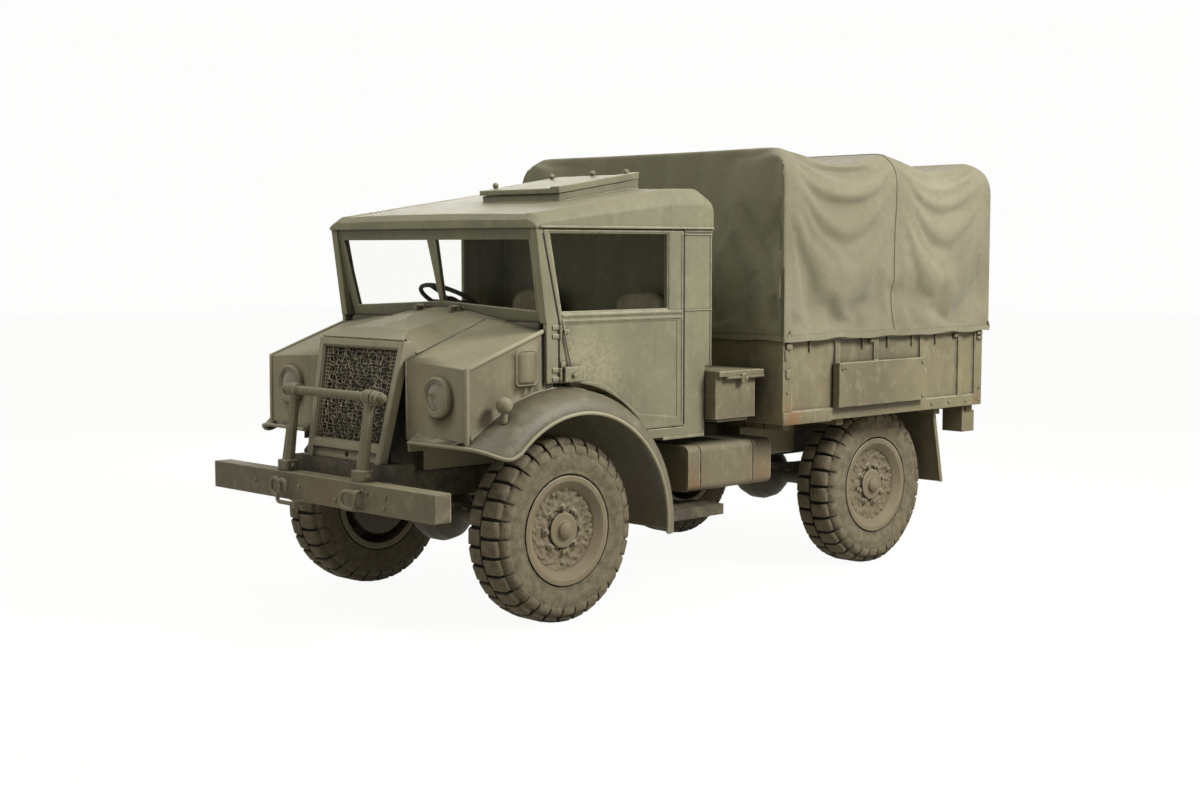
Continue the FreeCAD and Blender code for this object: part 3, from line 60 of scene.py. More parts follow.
# %% Landmarks
wheel_low, wheel_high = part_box("wheel_front_left")
axle_y = (wheel_low.y + wheel_high.y) / 2
rear_low, rear_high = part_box("wheel_rear_left")
tyre_low, tyre_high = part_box("tyre_front_left")
MM = 0.001


def at(x, y, z):
    """A point given in millimetres from the ground under the front axle."""
    return Vector((x / 1000, axle_y + y / 1000, z / 1000))


print("front axle at", round(axle_y, 4), "m")

# %% [markdown]
# The camera stands low at the front left corner, with a 53 mm lens, so the upright
# lines of the cab stay nearly upright and both the nose and the long side can be read.

# %% Camera
def aim(place, heading, pitch):
    """Camera matrix from a place, a compass heading and an upward pitch in degrees."""
    a, p = math.radians(heading), math.radians(pitch)
    ahead = Vector((-math.sin(a) * math.cos(p), math.cos(a) * math.cos(p), math.sin(p)))
    right = Vector((math.cos(a), math.sin(a), 0))
    above = right.cross(ahead)
    turn = Matrix((right, above, -ahead)).transposed()
    return Matrix.Translation(place) @ turn.to_4x4()


camera_data = bpy.data.cameras.new("portrait_camera")
camera_data.lens, camera_data.sensor_width = 53.48, 36.0
camera = bpy.data.objects.new("portrait_camera", camera_data)
bpy.context.collection.objects.link(camera)
camera.matrix_world = aim(at(7515, -6139, 1918), 46.024, -4.870)
bpy.context.scene.camera = camera

# %% [markdown]
# Plain studio light: a bright sky all round gives soft shade, and a strong lamp over the
# truck's left shoulder makes the long side lighter than the nose. A weak lamp high over
# the nose picks out its upper edges, and one behind on the far side keeps that side
# from going black. The camera sees a plain pale backdrop, and so do metal and glass,
# without any more light falling on the truck.

# %% Light, sky and floor
def linear(code):
    """An sRGB hex colour as linear RGBA, which is what shaders add and multiply."""
    values = [int(code[i:i + 2], 16) / 255 for i in (1, 3, 5)]
    return tuple(v / 12.92 if v <= 0.04045 else ((v + 0.055) / 1.055) ** 2.4
                 for v in values) + (1.0,)


def add(tree, kind, settings=None, links=None):
    """One shader node, with its settings, its socket values and its links."""
    made = tree.nodes.new("ShaderNode" + kind)
    for key, value in (settings or {}).items():
        if isinstance(key, int) or key in made.inputs:
            made.inputs[key].default_value = value
        else:
            setattr(made, key, value)
    for key, source in (links or {}).items():
        tree.links.new(source, made.inputs[key])
    return made


def plain_rays(tree):
    """1 for rays of the camera, of a reflection or through glass, and 0 for all others."""
    rays = add(tree, "LightPath")
    seen = add(tree, "Math", {"operation": "MAXIMUM"}, {0: rays.outputs["Is Camera Ray"],
                                                        1: rays.outputs["Is Glossy Ray"]})
    seen = add(tree, "Math", {"operation": "MAXIMUM"},
               {0: seen.outputs[0], 1: rays.outputs["Is Transmission Ray"]})
    return seen.outputs[0]


# Those rays meet the backdrop; all others meet the sky's light, or the floor's real tone.
BACKDROP = linear("#fdfdfc")
world = bpy.data.worlds.new("studio")
bpy.context.scene.world = world
world.use_nodes = True
sky = world.node_tree
sky.nodes.clear()
seen = plain_rays(sky)
glow = add(sky, "Background", {"Color": (1, 0.985, 0.96, 1), "Strength": 0.30})
plain = add(sky, "Background", {"Color": BACKDROP, "Strength": 1.0})
choice = add(sky, "MixShader", None, {0: seen, 1: glow.outputs[0], 2: plain.outputs[0]})
add(sky, "OutputWorld", None, {0: choice.outputs[0]})


def lamp(name, place, target, size, watts):
    """A square area lamp of so many metres and watts, aimed at a point."""
    data = bpy.data.lights.new(name, "AREA")
    data.size, data.energy = size, watts
    made = bpy.data.objects.new(name, data)
    bpy.context.collection.objects.link(made)
    made.location = place
    made.rotation_euler = (target - place).to_track_quat("-Z", "Y").to_euler()


middle = Vector((0, 0, 1.2))
lamp("key_lamp", Vector((6.5, 1.8, 6.0)), middle, 2.2, 610)
lamp("nose_lamp", Vector((-0.5, -5.0, 8.0)), middle, 3.0, 190)
lamp("far_side_lamp", Vector((-6.5, 4.5, 4.0)), middle, 3.0, 260)

bpy.ops.mesh.primitive_plane_add(size=80)
floor = bpy.context.object
floor.name = "floor"
paper = bpy.data.materials.new("studio_paper")
paper.use_nodes = True
ground = paper.node_tree
ground.nodes.clear()
seen = plain_rays(ground)
tone = add(ground, "Mix", {"data_type": "RGBA", 6: linear("#9c988e"), 7: BACKDROP}, {0: seen})
matt = add(ground, "BsdfDiffuse", None, {"Color": tone.outputs[2]})
white = add(ground, "Emission", {"Color": BACKDROP, "Strength": 1.03})
part = add(ground, "Math", {"operation": "MULTIPLY", 1: 0.94}, {0: seen})
mixed = add(ground, "MixShader", None, {0: part.outputs[0], 1: matt.outputs[0],
                                        2: white.outputs[0]})
add(ground, "OutputMaterial", None, {0: mixed.outputs[0]})
floor.data.materials.append(paper)
print("lamps:", len(bpy.data.lights), "floor:", floor.name)

# %% [markdown]
# Old army paint is never one colour. It is a matt enamel brushed on in several coats: it
# fades in patches, runs in streaks under the rain, wears pale at the edges, and carries
# dust and mud low down. Light and shade are painted into it too: a painted top light on
# level tops, painted shade in hollows and joints, and a painted highlight on the pale
# edges. Each of those is one small layer, mixed over the last. Sizes are in metres,
# because Object coordinates are, so a noise scale of 9 gives patches about 1/9 m across.

# %% Layers of a finish
def blank(name):
    """A material without nodes, its node tree, and the piece's own coordinates in metres."""
    made = bpy.data.materials.new(name)
    made.use_nodes = True
    made.node_tree.nodes.clear()
    return made, made.node_tree, add(made.node_tree, "TexCoord").outputs["Object"]


def lumps(tree, place, scale, detail, rough):
    """Cloud noise, 0 to 1, whose largest lumps are 1/scale metres across."""
    return add(tree, "TexNoise", {"Scale": scale, "Detail": detail, "Roughness": rough},
               {"Vector": place}).outputs[0]


def ramp(tree, value, low, high, top=1.0, bottom=0.0):
    """From bottom at low to top at high, and level beyond. High may be the smaller one."""
    return add(tree, "MapRange", {"From Min": low, "From Max": high, "To Min": bottom,
                                  "To Max": top}, {"Value": value}).outputs[0]


def blend(tree, one, other, share):
    """The first colour where share is 0, the second where it is 1."""
    return add(tree, "Mix", {"data_type": "RGBA", 6: linear(one), 7: linear(other)},
               {0: share}).outputs[2]


def over(tree, coat, colour, share):
    """A thin layer of colour over the coat, as thick as share says."""
    return add(tree, "Mix", {"data_type": "RGBA", 7: linear(colour)},
               {0: share, 6: coat}).outputs[2]


print("layer tools ready")

# %% [markdown]
# The paint's layers run from the bottom up: two faded tones, blotches, a painted top light
# on level tops, rain streaks, rust, mud, single stains, painted shade in hollows and
# joints, and pale edges that are partly wear and partly a painted highlight.

# %% Weathered paint
def weathered_paint(name, tint, shade, painted_top_tone="#8b8468", rust=0.0, mud_height=1.0,
                    mud="#7d7258", edge_wear_and_highlight=0.9, gloss=0.0, spots=()):
    """Matt enamel. The tone given for level tops is a painted top light; the paleness given
    for the edges is partly real wear and partly a painted highlight; a spot is
    (x, y, z in mm, radius in m, colour, amount)."""
    made, tree, place = blank(name)
    facing = add(tree, "NewGeometry").outputs["Normal"]
    axes = add(tree, "SeparateXYZ", None, {0: facing})
    spot = add(tree, "SeparateXYZ", None, {0: place})
    # Faded patches 60 cm across, then blotches of 9 cm, then grains of 8 mm.
    cloud = lumps(tree, place, 1.6, 4, 0.6)
    blotch = lumps(tree, place, 11, 6, 0.68)
    grain = lumps(tree, place, 130, 3, 0.7)
    faded = ramp(tree, cloud, 0.36, 0.66)
    coat = blend(tree, shade, tint, faded)
    patch = ramp(tree, blotch, 0.5, 0.72, top=0.55)
    coat = over(tree, coat, "#a39b7d", patch)
    # Level tops take a tone of their own by the way they face: a painted top light.
    level = ramp(tree, axes.outputs[2], 0.35, 0.95, top=0.6)
    coat = over(tree, coat, painted_top_tone, level)
    # Rain streaks: noise that is 15 times finer across than down.
    tall = add(tree, "Mapping", {"Scale": (19, 19, 1.3)}, {"Vector": place})
    streak = lumps(tree, tall.outputs[0], 1, 5, 0.62)
    run = ramp(tree, streak, 0.52, 0.8, top=0.28)
    coat = over(tree, coat, "#4c4635", run)
    # Rust starts where the noise peaks, so a lower threshold gives more of it.
    bloom = add(tree, "TexNoise", {"Scale": 4.5, "Detail": 8, "Roughness": 0.72,
                                   "Distortion": 0.4}, {"Vector": place}).outputs[0]
    rusty = ramp(tree, bloom, 0.72 - 0.22 * rust, 0.80 - 0.20 * rust, top=0.85)
    coat = over(tree, coat, "#6e4a2b", rusty)
    # Mud is thick near the ground and thins out upwards, with a ragged edge.
    ragged = add(tree, "Math", {"operation": "MULTIPLY_ADD", 1: 0.9},
                 {0: blotch, 2: spot.outputs[2]})
    muddy = ramp(tree, ragged.outputs[0], mud_height + 0.45, 0.55, top=0.8)
    coat = over(tree, coat, mud, muddy)
    # Single stains whose place is known: each fades out from its middle, broken by noise.
    fleck = lumps(tree, place, 36, 9, 0.8)
    for x, y, z, radius, colour, amount in spots:
        middle = at(x, y, z)
        off = add(tree, "VectorMath", {"operation": "DISTANCE", 1: tuple(middle)},
                  {0: place})
        near = ramp(tree, off.outputs["Value"], radius, 0.1 * radius)
        torn = ramp(tree, fleck, 0.58, 0.42)
        both = add(tree, "Math", {"operation": "ADD"}, {0: near, 1: torn})
        there = ramp(tree, both.outputs[0], 1.0, 1.35, top=amount)
        here = add(tree, "Math", {"operation": "MULTIPLY"}, {0: there, 1: near})
        coat = over(tree, coat, colour, here.outputs[0])
    # Painted shade: ambient occlusion darkens wide hollows softly, and draws a dark line in
    # every joint and crease.
    for reach, full, depth in ((0.28, 0.15, 0.55), (0.022, 0.3, 0.9)):
        corner = add(tree, "AmbientOcclusion", {"samples": 6, "Distance": reach})
        painted_shade = ramp(tree, corner.outputs["AO"], 0.88, full, top=depth)
        coat = over(tree, coat, "#1f1c13", painted_shade)
    # A rounded copy of the normal differs from the true one only near an edge.
    rounded = add(tree, "Bevel", {"samples": 8, "Radius": 0.012})
    turn = add(tree, "VectorMath", {"operation": "DOT_PRODUCT"},
               {0: rounded.outputs[0], 1: facing})
    # Pale edges: partly wear, partly a painted highlight along every edge.
    edge = ramp(tree, turn.outputs["Value"], 0.985, 0.80, top=edge_wear_and_highlight)
    broken = ramp(tree, blotch, 0.30, 0.52)
    pale_edge_wear_and_highlight = add(tree, "Math", {"operation": "MULTIPLY"}, {0: edge, 1: broken})
    coat = over(tree, coat, "#c2ba9c", pale_edge_wear_and_highlight.outputs[0])
    # Chalky old enamel scatters nearly all its light; gloss is what polish is left.
    dull = ramp(tree, blotch, 0.0, 1.0, top=0.86 - gloss, bottom=0.52 - gloss)
    relief = add(tree, "Mix", {"data_type": "FLOAT", 0: 0.35}, {2: blotch, 3: grain})
    bump = add(tree, "Bump", {"Strength": 0.35, "Distance": 0.004},
               {"Height": relief.outputs[0], "Normal": rounded.outputs[0]})
    skin = add(tree, "BsdfPrincipled", None, {"Base Color": coat,
               "Roughness": dull, "Normal": bump.outputs[0]})
    add(tree, "OutputMaterial", None, {0: skin.outputs[0]})
    return made


DOOR_CHIPS = [(870, 60, 1470, 0.20, "#6c705a", 0.8), (870, 120, 1370, 0.30, "#a89d7e", 0.8),
              (870, 300, 1280, 0.26, "#a89d7e", 0.65)]
BED_RUST = [(1088, 1560, 955, 0.22, "#8a6038", 0.8), (1088, 3380, 960, 0.16, "#7a5836", 0.6)]
TANK_RUST = [(900, 960, 640, 0.2, "#7c5d39", 0.8), (900, 1500, 640, 0.22, "#7c5d39", 0.6)]
cab_paint = weathered_paint("cab_enamel", "#8d8a6b", "#79775d", gloss=0.05,
                            spots=DOOR_CHIPS)
# The nose's level tops take a lighter tone: painted light on the bonnet.
nose_paint = weathered_paint("nose_enamel", "#93886a", "#7b745a", painted_top_tone="#a19b7d",
                             rust=0.15)
# The wing's paint is a darker copy of the nose paint: painted shade on the shoulders.
wing_paint_painted_shade = weathered_paint("wing_enamel_painted_shade", "#6d6751", "#5a5543", painted_top_tone="#69634e",
                             rust=0.2, gloss=0.15)
# Pale paint: its own lighter tone on the grille's border, and a painted highlight on the
# wings' rolled lips and panel edges.
pale_edge_and_highlight_paint = weathered_paint("pale_edge_enamel_and_highlight", "#b0a88a", "#978f73",
                             painted_top_tone="#b4ad90", edge_wear_and_highlight=0.5)
bed_paint = weathered_paint("bed_enamel", "#8b8262", "#6f674f", rust=0.3,
                            spots=BED_RUST + TANK_RUST)
bumper_paint = weathered_paint("bumper_enamel", "#7c7358", "#625a45", rust=0.4,
                               mud_height=0.6, spots=[(60, -905, 690, 0.30, "#75603f", 0.6)])
wheel_paint = weathered_paint("muddy_wheel_enamel", "#8d8065", "#6c614b",
                              painted_top_tone="#8a7d62", mud_height=1.4, mud="#85775c")
print("paints:", cab_paint.name, nose_paint.name, bed_paint.name, bumper_paint.name)

# %% [markdown]
# The frame, axles and springs are cast or rolled steel under oil and road dirt. Their
# corners are made nearly black by painted shade, with patches of dry mud on the rest.

# %% Chassis steel
def oily_steel(name, oil, dirt, reach=0.55):
    """Steel under oil, with dry dirt caked on a share of it, up to reach."""
    made, tree, place = blank(name)
    cake = lumps(tree, place, 14, 8, 0.72)
    dry = ramp(tree, cake, 0.42, 0.62, top=reach)
    coat = blend(tree, oil, dirt, dry)
    # Painted shade: ambient occlusion turns the corners nearly black.
    corner = add(tree, "AmbientOcclusion", {"samples": 6, "Distance": 0.1})
    painted_shade = ramp(tree, corner.outputs["AO"], 0.8, 0.2)
    coat = over(tree, coat, "#15120c", painted_shade)
    dull = ramp(tree, cake, 0.0, 1.0, top=0.95, bottom=0.45)
    bump = add(tree, "Bump", {"Strength": 0.6, "Distance": 0.006}, {"Height": cake})
    skin = add(tree, "BsdfPrincipled", {"Metallic": 0.15}, {"Base Color": coat,
               "Roughness": dull, "Normal": bump.outputs[0]})
    add(tree, "OutputMaterial", None, {0: skin.outputs[0]})
    return made


chassis_steel = oily_steel("oily_chassis_steel", "#443e30", "#786d55", 0.65)
screen_steel = oily_steel("rusty_screen_wire", "#988c6e", "#c8bd9e", 0.95)
core_black = oily_steel("radiator_core_black", "#15140f", "#2a271d", 0.3)
print("steels:", chassis_steel.name, screen_steel.name, core_black.name)

# %% [markdown]
# Tyre rubber is black, but a truck that has just come off a track has patches of tan dust
# on it. Its grooves are darkened by ambient occlusion, a painted shade.

# %% Tyre rubber
def dusty_rubber():
    """Black rubber with patches of tan dust; painted shade darkens its grooves."""
    made, tree, place = blank("dusty_tyre_rubber")
    cake = lumps(tree, place, 22, 8, 0.7)
    grit = add(tree, "TexNoise", {"Scale": 240, "Detail": 2}, {"Vector": place}).outputs[0]
    dry = ramp(tree, cake, 0.3, 0.62)
    coat = blend(tree, "#564e3f", "#84795f", dry)
    # Painted shade: ambient occlusion darkens the grooves.
    corner = add(tree, "AmbientOcclusion", {"samples": 8, "Distance": 0.05})
    painted_groove_shade = ramp(tree, corner.outputs["AO"], 0.85, 0.35)
    coat = over(tree, coat, "#1c1912", painted_groove_shade)
    relief = add(tree, "Mix", {"data_type": "FLOAT", 0: 0.3}, {2: cake, 3: grit})
    bump = add(tree, "Bump", {"Strength": 0.5, "Distance": 0.004},
               {"Height": relief.outputs[0]})
    skin = add(tree, "BsdfPrincipled", {"Roughness": 0.9}, {"Base Color": coat,
               "Normal": bump.outputs[0]})
    add(tree, "OutputMaterial", None, {0: skin.outputs[0]})
    return made


tyre_rubber = dusty_rubber()
print("rubber:", tyre_rubber.name)

# %% [markdown]
# The tilt is proofed cotton duck, woven from threads about 1.2 mm apart. That is finer
# than a whole-truck picture can show, so the weave is drawn 7 mm apart, just enough to
# break up the light. Wax and rain leave broad stains. The folds are darkened as painted
# shade, and the faces that look forward take a tone of their own, painted shade for the cab.

# %% Canvas
def proofed_canvas():
    """Stained cotton duck with a coarse weave, with painted shade in its folds and on its
    forward faces.
    """
    made, tree, place = blank("proofed_cotton_duck")
    stain = lumps(tree, place, 1.5, 6, 0.6)
    speck = lumps(tree, place, 34, 7, 0.75)
    waxed = ramp(tree, stain, 0.35, 0.68)
    coat = blend(tree, "#827c63", "#979076", waxed)
    # Faces that look forward take a tone of their own: painted shade for the cab's shadow.
    axes = add(tree, "SeparateXYZ", None,
               {0: add(tree, "NewGeometry").outputs["Normal"]})
    painted_front_shade = ramp(tree, axes.outputs[1], -0.2, -0.8, top=0.8)
    coat = over(tree, coat, "#858268", painted_front_shade)
    fleck = ramp(tree, speck, 0.45, 0.8, top=0.35)
    coat = over(tree, coat, "#5b5743", fleck)
    # Painted shade: ambient occlusion darkens the valleys of the folds.
    fold = add(tree, "AmbientOcclusion", {"samples": 6, "Distance": 0.10})
    painted_crease_shade = ramp(tree, fold.outputs["AO"], 0.9, 0.4, top=0.6)
    coat = over(tree, coat, "#3c3a2c", painted_crease_shade)
    # 140 bands a metre are threads 7 mm apart: one set runs up, the other along.
    up = add(tree, "TexWave", {"bands_direction": "Z", "Scale": 44, "Distortion": 0.6},
             {"Vector": place}).outputs["Fac"]
    along = add(tree, "TexWave", {"bands_direction": "DIAGONAL", "Scale": 44,
                                  "Distortion": 0.6}, {"Vector": place}).outputs["Fac"]
    weave = add(tree, "Math", {"operation": "MULTIPLY"}, {0: up, 1: along})
    relief = add(tree, "Mix", {"data_type": "FLOAT", 0: 0.5},
                 {2: weave.outputs[0], 3: speck})
    bump = add(tree, "Bump", {"Strength": 0.3, "Distance": 0.003},
               {"Height": relief.outputs[0]})
    skin = add(tree, "BsdfPrincipled", {"Roughness": 0.93, "Sheen Weight": 0.15},
               {"Base Color": coat, "Normal": bump.outputs[0]})
    add(tree, "OutputMaterial", None, {0: skin.outputs[0]})
    return made


canvas = proofed_canvas()
print("canvas:", canvas.name)

# %% [markdown]
# Old lens glass is frosted by dust. The windscreen's panes are clean, but thicker than
# real ones, so their index is set low and they hardly bend the view.

# %% Glass
def pane_glass(name, dust, clear, rough, index=1.52, hold=0.75):
    """Glass under road dust: clear is the share that shows through, and hold is how much of
    that is left where the film of dust is thickest."""
    made, tree, place = blank(name)
    film = lumps(tree, place, 7, 6, 0.7)
    haze = ramp(tree, film, 0.35, 0.75, top=rough[1], bottom=rough[0])
    through = ramp(tree, film, 0.3, 0.8, top=clear * hold, bottom=clear)
    skin = add(tree, "BsdfPrincipled", {"Base Color": linear(dust), "IOR": index},
               {"Roughness": haze, "Transmission Weight": through})
    add(tree, "OutputMaterial", None, {0: skin.outputs[0]})
    return made


windscreen_pane = pane_glass("windscreen_glass", "#fbfbf8", 1.0, (0.0, 0.0),
                             1.08, 1.0)
lamp_lens = pane_glass("dusty_lamp_lens", "#8f8769", 0.18, (0.15, 0.4))
print("glass:", windscreen_pane.name, lamp_lens.name)

# %% [markdown]
# The seats are waxed leather, rubbed pale where backs lean on them. Their colour is
# lighter than the leather's own, painted light for the dim cab, and their creases are
# darkened as painted shade. The deck is tarred pine boards. The steering wheel is black
# bakelite: the recipe for steel, with other colours, is close enough for a thin dusty rim.

# %% Leather, wood and bakelite
def worn_leather():
    """Waxed leather with pores, rubbed pale in places, lighter than its own tone as painted
    light, with painted shade in its creases.
    """
    made, tree, place = blank("waxed_seat_leather_painted_light")
    pores = add(tree, "TexVoronoi", {"Scale": 150}, {"Vector": place}).outputs["Distance"]
    rub = lumps(tree, place, 6, 7, 0.65)
    pale = ramp(tree, rub, 0.4, 0.66)
    # Both tones are lighter than the leather's own: painted light for the dim inside of the
    # cab.
    coat = blend(tree, "#9a9173", "#c6bd9e", pale)
    # Painted shade: ambient occlusion darkens the creases.
    crease = add(tree, "AmbientOcclusion", {"samples": 6, "Distance": 0.04})
    painted_crease_shade = ramp(tree, crease.outputs["AO"], 0.85, 0.4)
    coat = over(tree, coat, "#221e15", painted_crease_shade)
    gloss = ramp(tree, rub, 0.0, 1.0, top=0.75, bottom=0.4)
    relief = add(tree, "Mix", {"data_type": "FLOAT", 0: 0.4}, {2: rub, 3: pores})
    bump = add(tree, "Bump", {"Strength": 0.4, "Distance": 0.002},
               {"Height": relief.outputs[0]})
    skin = add(tree, "BsdfPrincipled", None, {"Base Color": coat,
               "Roughness": gloss, "Normal": bump.outputs[0]})
    add(tree, "OutputMaterial", None, {0: skin.outputs[0]})
    return made


def deck_boards():
    """Pine boards 150 mm wide that run along the truck, with dark tarred joints."""
    made, tree, place = blank("tarred_pine_boards")
    spot = add(tree, "SeparateXYZ", None, {0: place})
    board = add(tree, "Math", {"operation": "PINGPONG", 1: 0.075}, {0: spot.outputs[0]})
    joint = ramp(tree, board.outputs[0], 0.006, 0.003)
    long = add(tree, "Mapping", {"Scale": (60, 4, 60)}, {"Vector": place})
    fibre = lumps(tree, long.outputs[0], 1, 6, 0.7)
    coat = blend(tree, "#5f553d", "#84795d", fibre)
    coat = over(tree, coat, "#1d1a13", joint)
    bump = add(tree, "Bump", {"Strength": 0.4, "Distance": 0.003}, {"Height": fibre})
    skin = add(tree, "BsdfPrincipled", {"Roughness": 0.85}, {"Base Color": coat,
               "Normal": bump.outputs[0]})
    add(tree, "OutputMaterial", None, {0: skin.outputs[0]})
    return made


seat_leather_painted_light = worn_leather()
deck_wood = deck_boards()
bakelite = oily_steel("black_bakelite", "#1b1914", "#3a352a", 0.35)
print("soft and wood:", seat_leather_painted_light.name, deck_wood.name, bakelite.name)

# %% [markdown]
# The parts of the engineering model keep their shape, so they only need a finish. Each
# family of parts gets the paint that its place on the truck has earned.

# %% Finish the solid parts
def dress(material, *names):
    """Puts one finish on solid parts, through their own material slots."""
    for name in names:
        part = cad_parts[name]
        if not part.material_slots:
            part.data.materials.append(material)
        for place in part.material_slots:
            place.material = material


corners = ("front_left", "front_right", "rear_left", "rear_right")
dress(cab_paint, "cab_shell", "cab_roof", "cab_floor", "door_left", "door_right",
      "hatch_lid")
dress(nose_paint, "wing_left", "wing_right", "bonnet", "lamps")
dress(pale_edge_and_highlight_paint, "radiator_shell")
dress(bed_paint, "bed_sides", "tailgate", "toolboxes", "toolbox_lid_left",
      "toolbox_lid_right", "fuel_tanks", "rear_mudguards")
dress(bumper_paint, "front_bumper", "grille_guard")
dress(wheel_paint, *["wheel_" + corner for corner in corners])
dress(chassis_steel, "frame_rails", "front_axle", "rear_axle", "driveline", "engine",
      "knuckle_left", "knuckle_right", "tie_rod", "steps", "tilt_bows")
dress(tyre_rubber, *["tyre_" + corner for corner in corners])
dress(screen_steel, "grille_mesh")
dress(core_black, "radiator")
dress(windscreen_pane, "windscreen_glass")
dress(deck_wood, "bed_floor")
dress(canvas, "tilt")
dress(seat_leather_painted_light, "seats")
dress(bakelite, "steering_wheel")
print("finished", len(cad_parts), "solid parts")

# %% [markdown]
# A few helpers stand in for the mouse. An operator works on whatever is selected, so the
# first one clears the selection, and another picks faces by where they are.

# %% Hands and eyes
def fresh():
    """Leave edit mode and select nothing, so the next operator touches only its own mesh."""
    if bpy.context.object and bpy.context.object.mode != "OBJECT":
        bpy.ops.object.mode_set(mode="OBJECT")
    bpy.ops.object.select_all(action="DESELECT")


def only(*things):
    """Select just these objects; the first is the active one."""
    fresh()
    for thing in things:
        thing.select_set(True)
    bpy.context.view_layer.objects.active = things[0]


def edit(mode="FACE"):
    """Enter edit mode, to work on faces, edges or points."""
    bpy.ops.object.mode_set(mode="EDIT")
    bpy.ops.mesh.select_mode(type=mode)


def leave_edit():
    """Back to object mode."""
    bpy.ops.object.mode_set(mode="OBJECT")


def everything():
    """In edit mode, select the whole mesh."""
    bpy.ops.mesh.select_all(action="SELECT")


def whole(operator, **settings):
    """Run one mesh operator on the whole of the active piece."""
    edit()
    everything()
    getattr(bpy.ops.mesh, operator)(**settings)
    leave_edit()


def freeze():
    """Put the selected pieces' place, turn and size into their meshes."""
    bpy.ops.object.transform_apply(location=True, rotation=True, scale=True)


def pick(test, kind="faces"):
    """In edit mode, select faces by their centre and normal, or edges by their two ends."""
    mesh = bmesh.from_edit_mesh(bpy.context.object.data)
    bpy.ops.mesh.select_all(action="DESELECT")
    for part in getattr(mesh, kind):
        if kind == "faces":
            hit = test(part.calc_center_median(), part.normal)
        else:
            hit = test(part.verts[0].co, part.verts[1].co)
        if hit:
            part.select_set(True)
    bmesh.update_edit_mesh(bpy.context.object.data)


def modify(thing, kind, **settings):
    """Add a modifier, set it and apply it at once."""
    only(thing)
    made = thing.modifiers.new(kind.lower(), kind)
    for key, value in settings.items():
        setattr(made, key, value)
    bpy.ops.object.modifier_apply(modifier=made.name)


def done(thing, name, material, body, angle=35):
    """Name a piece, put its place into its mesh, smooth it and hang it on its body."""
    only(thing)
    thing.name = name
    freeze()
    bpy.ops.object.shade_smooth_by_angle(angle=math.radians(angle))
    if material:
        thing.data.materials.clear()
        thing.data.materials.append(material)
    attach(thing, body)
    return thing


def join(pieces, name):
    """One mesh of several; it keeps the materials of all."""
    only(*pieces)
    bpy.ops.object.join()
    made = bpy.context.object
    made.name = name
    return made


print("helpers ready")

# %% [markdown]
# The tyre is the first thing the eye meets. The real one is a moulded casing with
# thirty thick bars on each shoulder, set half a step apart so that they interlock at the
# middle of the tread. The casing is a profile spun round the axle. Spinning a traced
# line gives an exact round with clean rings of faces, which a sculpted torus would not.

# %% Tyre casing
TYRE_LINE = [(115.7, 262.3), (115.7, 285), (121, 291), (127, 294), (129, 299), (127, 304),
             (131, 316), (137, 342), (139, 372), (136, 400), (129, 422), (116, 438),
             (88, 449), (45, 453), (0, 454)]


def trace(points, name):
    """One vertex, extruded along (x, z) points in millimetres, as a line in the XZ plane."""
    fresh()
    bpy.ops.mesh.primitive_plane_add(size=0.01)
    line = bpy.context.object
    line.name = name
    edit("VERT")
    everything()
    bpy.ops.mesh.merge(type="CENTER")
    x, z = points[0]
    bpy.ops.transform.translate(value=(x * MM, 0, z * MM))
    for a, b in points[1:]:
        step = ((a - x) * MM, 0, (b - z) * MM)
        bpy.ops.mesh.extrude_region_move(TRANSFORM_OT_translate={"value": step})
        x, z = a, b
    return line


def spin_about_x(line, steps):
    """Turn the traced line a full circle about X, and close it as one skin."""
    everything()
    bpy.ops.mesh.spin(steps=steps, angle=math.tau, center=(0, 0, 0), axis=(1, 0, 0))
    everything()
    bpy.ops.mesh.remove_doubles(threshold=0.00005)
    bpy.ops.mesh.normals_make_consistent(inside=False)
    leave_edit()
    return line


half_line = TYRE_LINE + [(-x, z) for x, z in TYRE_LINE[-2::-1]]
casing = spin_about_x(trace(half_line + half_line[:1], "casing"), 96)
print("casing", len(casing.data.polygons), "faces")

# %% [markdown]
# One bar of the tread is a short beam that starts at the middle of the tread and bends
# down over the shoulder. It is extruded in six stations, each moved and turned a little
# further, then its edges are rounded. Its underside is sunk in the casing.

# %% One tread bar
# Stations of the bar: x, height over the axle, lean in degrees, share of full width.
BAR = [(4, 465, 0, 1.0), (62, 464.5, 3, 1.02), (98, 459, 14, 1.02), (117, 449, 38, 1.0),
       (124, 431, 64, 0.98), (125, 411, 82, 0.95), (124.5, 392, 88, 0.90)]
BARS = 30
PITCH = math.tau / BARS
BAR_W = 0.80 * PITCH * 480 * MM


def tread_bar():
    """One bar, from the middle of the tread down over the left-hand shoulder."""
    fresh()
    x, z, lean, wide = BAR[0]
    bpy.ops.mesh.primitive_plane_add(size=1, location=(x * MM, 0, z * MM),
                                     rotation=(0, math.pi / 2, 0))
    bar = bpy.context.object
    bpy.ops.transform.resize(value=(1, BAR_W, 30 * MM))
    freeze()
    edit()
    everything()
    for a, b, turn, share in BAR[1:]:
        step = ((a - x) * MM, 0, (b - z) * MM)
        bpy.ops.mesh.extrude_region_move(TRANSFORM_OT_translate={"value": step})
        hub = (a * MM, 0, b * MM)
        bpy.ops.transform.rotate(value=math.radians(turn - lean), orient_axis="Y",
                                 center_override=hub)
        bpy.ops.transform.resize(value=(1, share / wide, 1), center_override=hub)
        x, z, lean, wide = a, b, turn, share
    everything()
    bpy.ops.mesh.normals_make_consistent(inside=False)
    leave_edit()
    modify(bar, "BEVEL", width=12 * MM, segments=2, limit_method="ANGLE",
           angle_limit=math.radians(40))
    return bar


bar = tread_bar()
print("bar", len(bar.data.polygons), "faces,", [round(v, 3) for v in bar.dimensions])

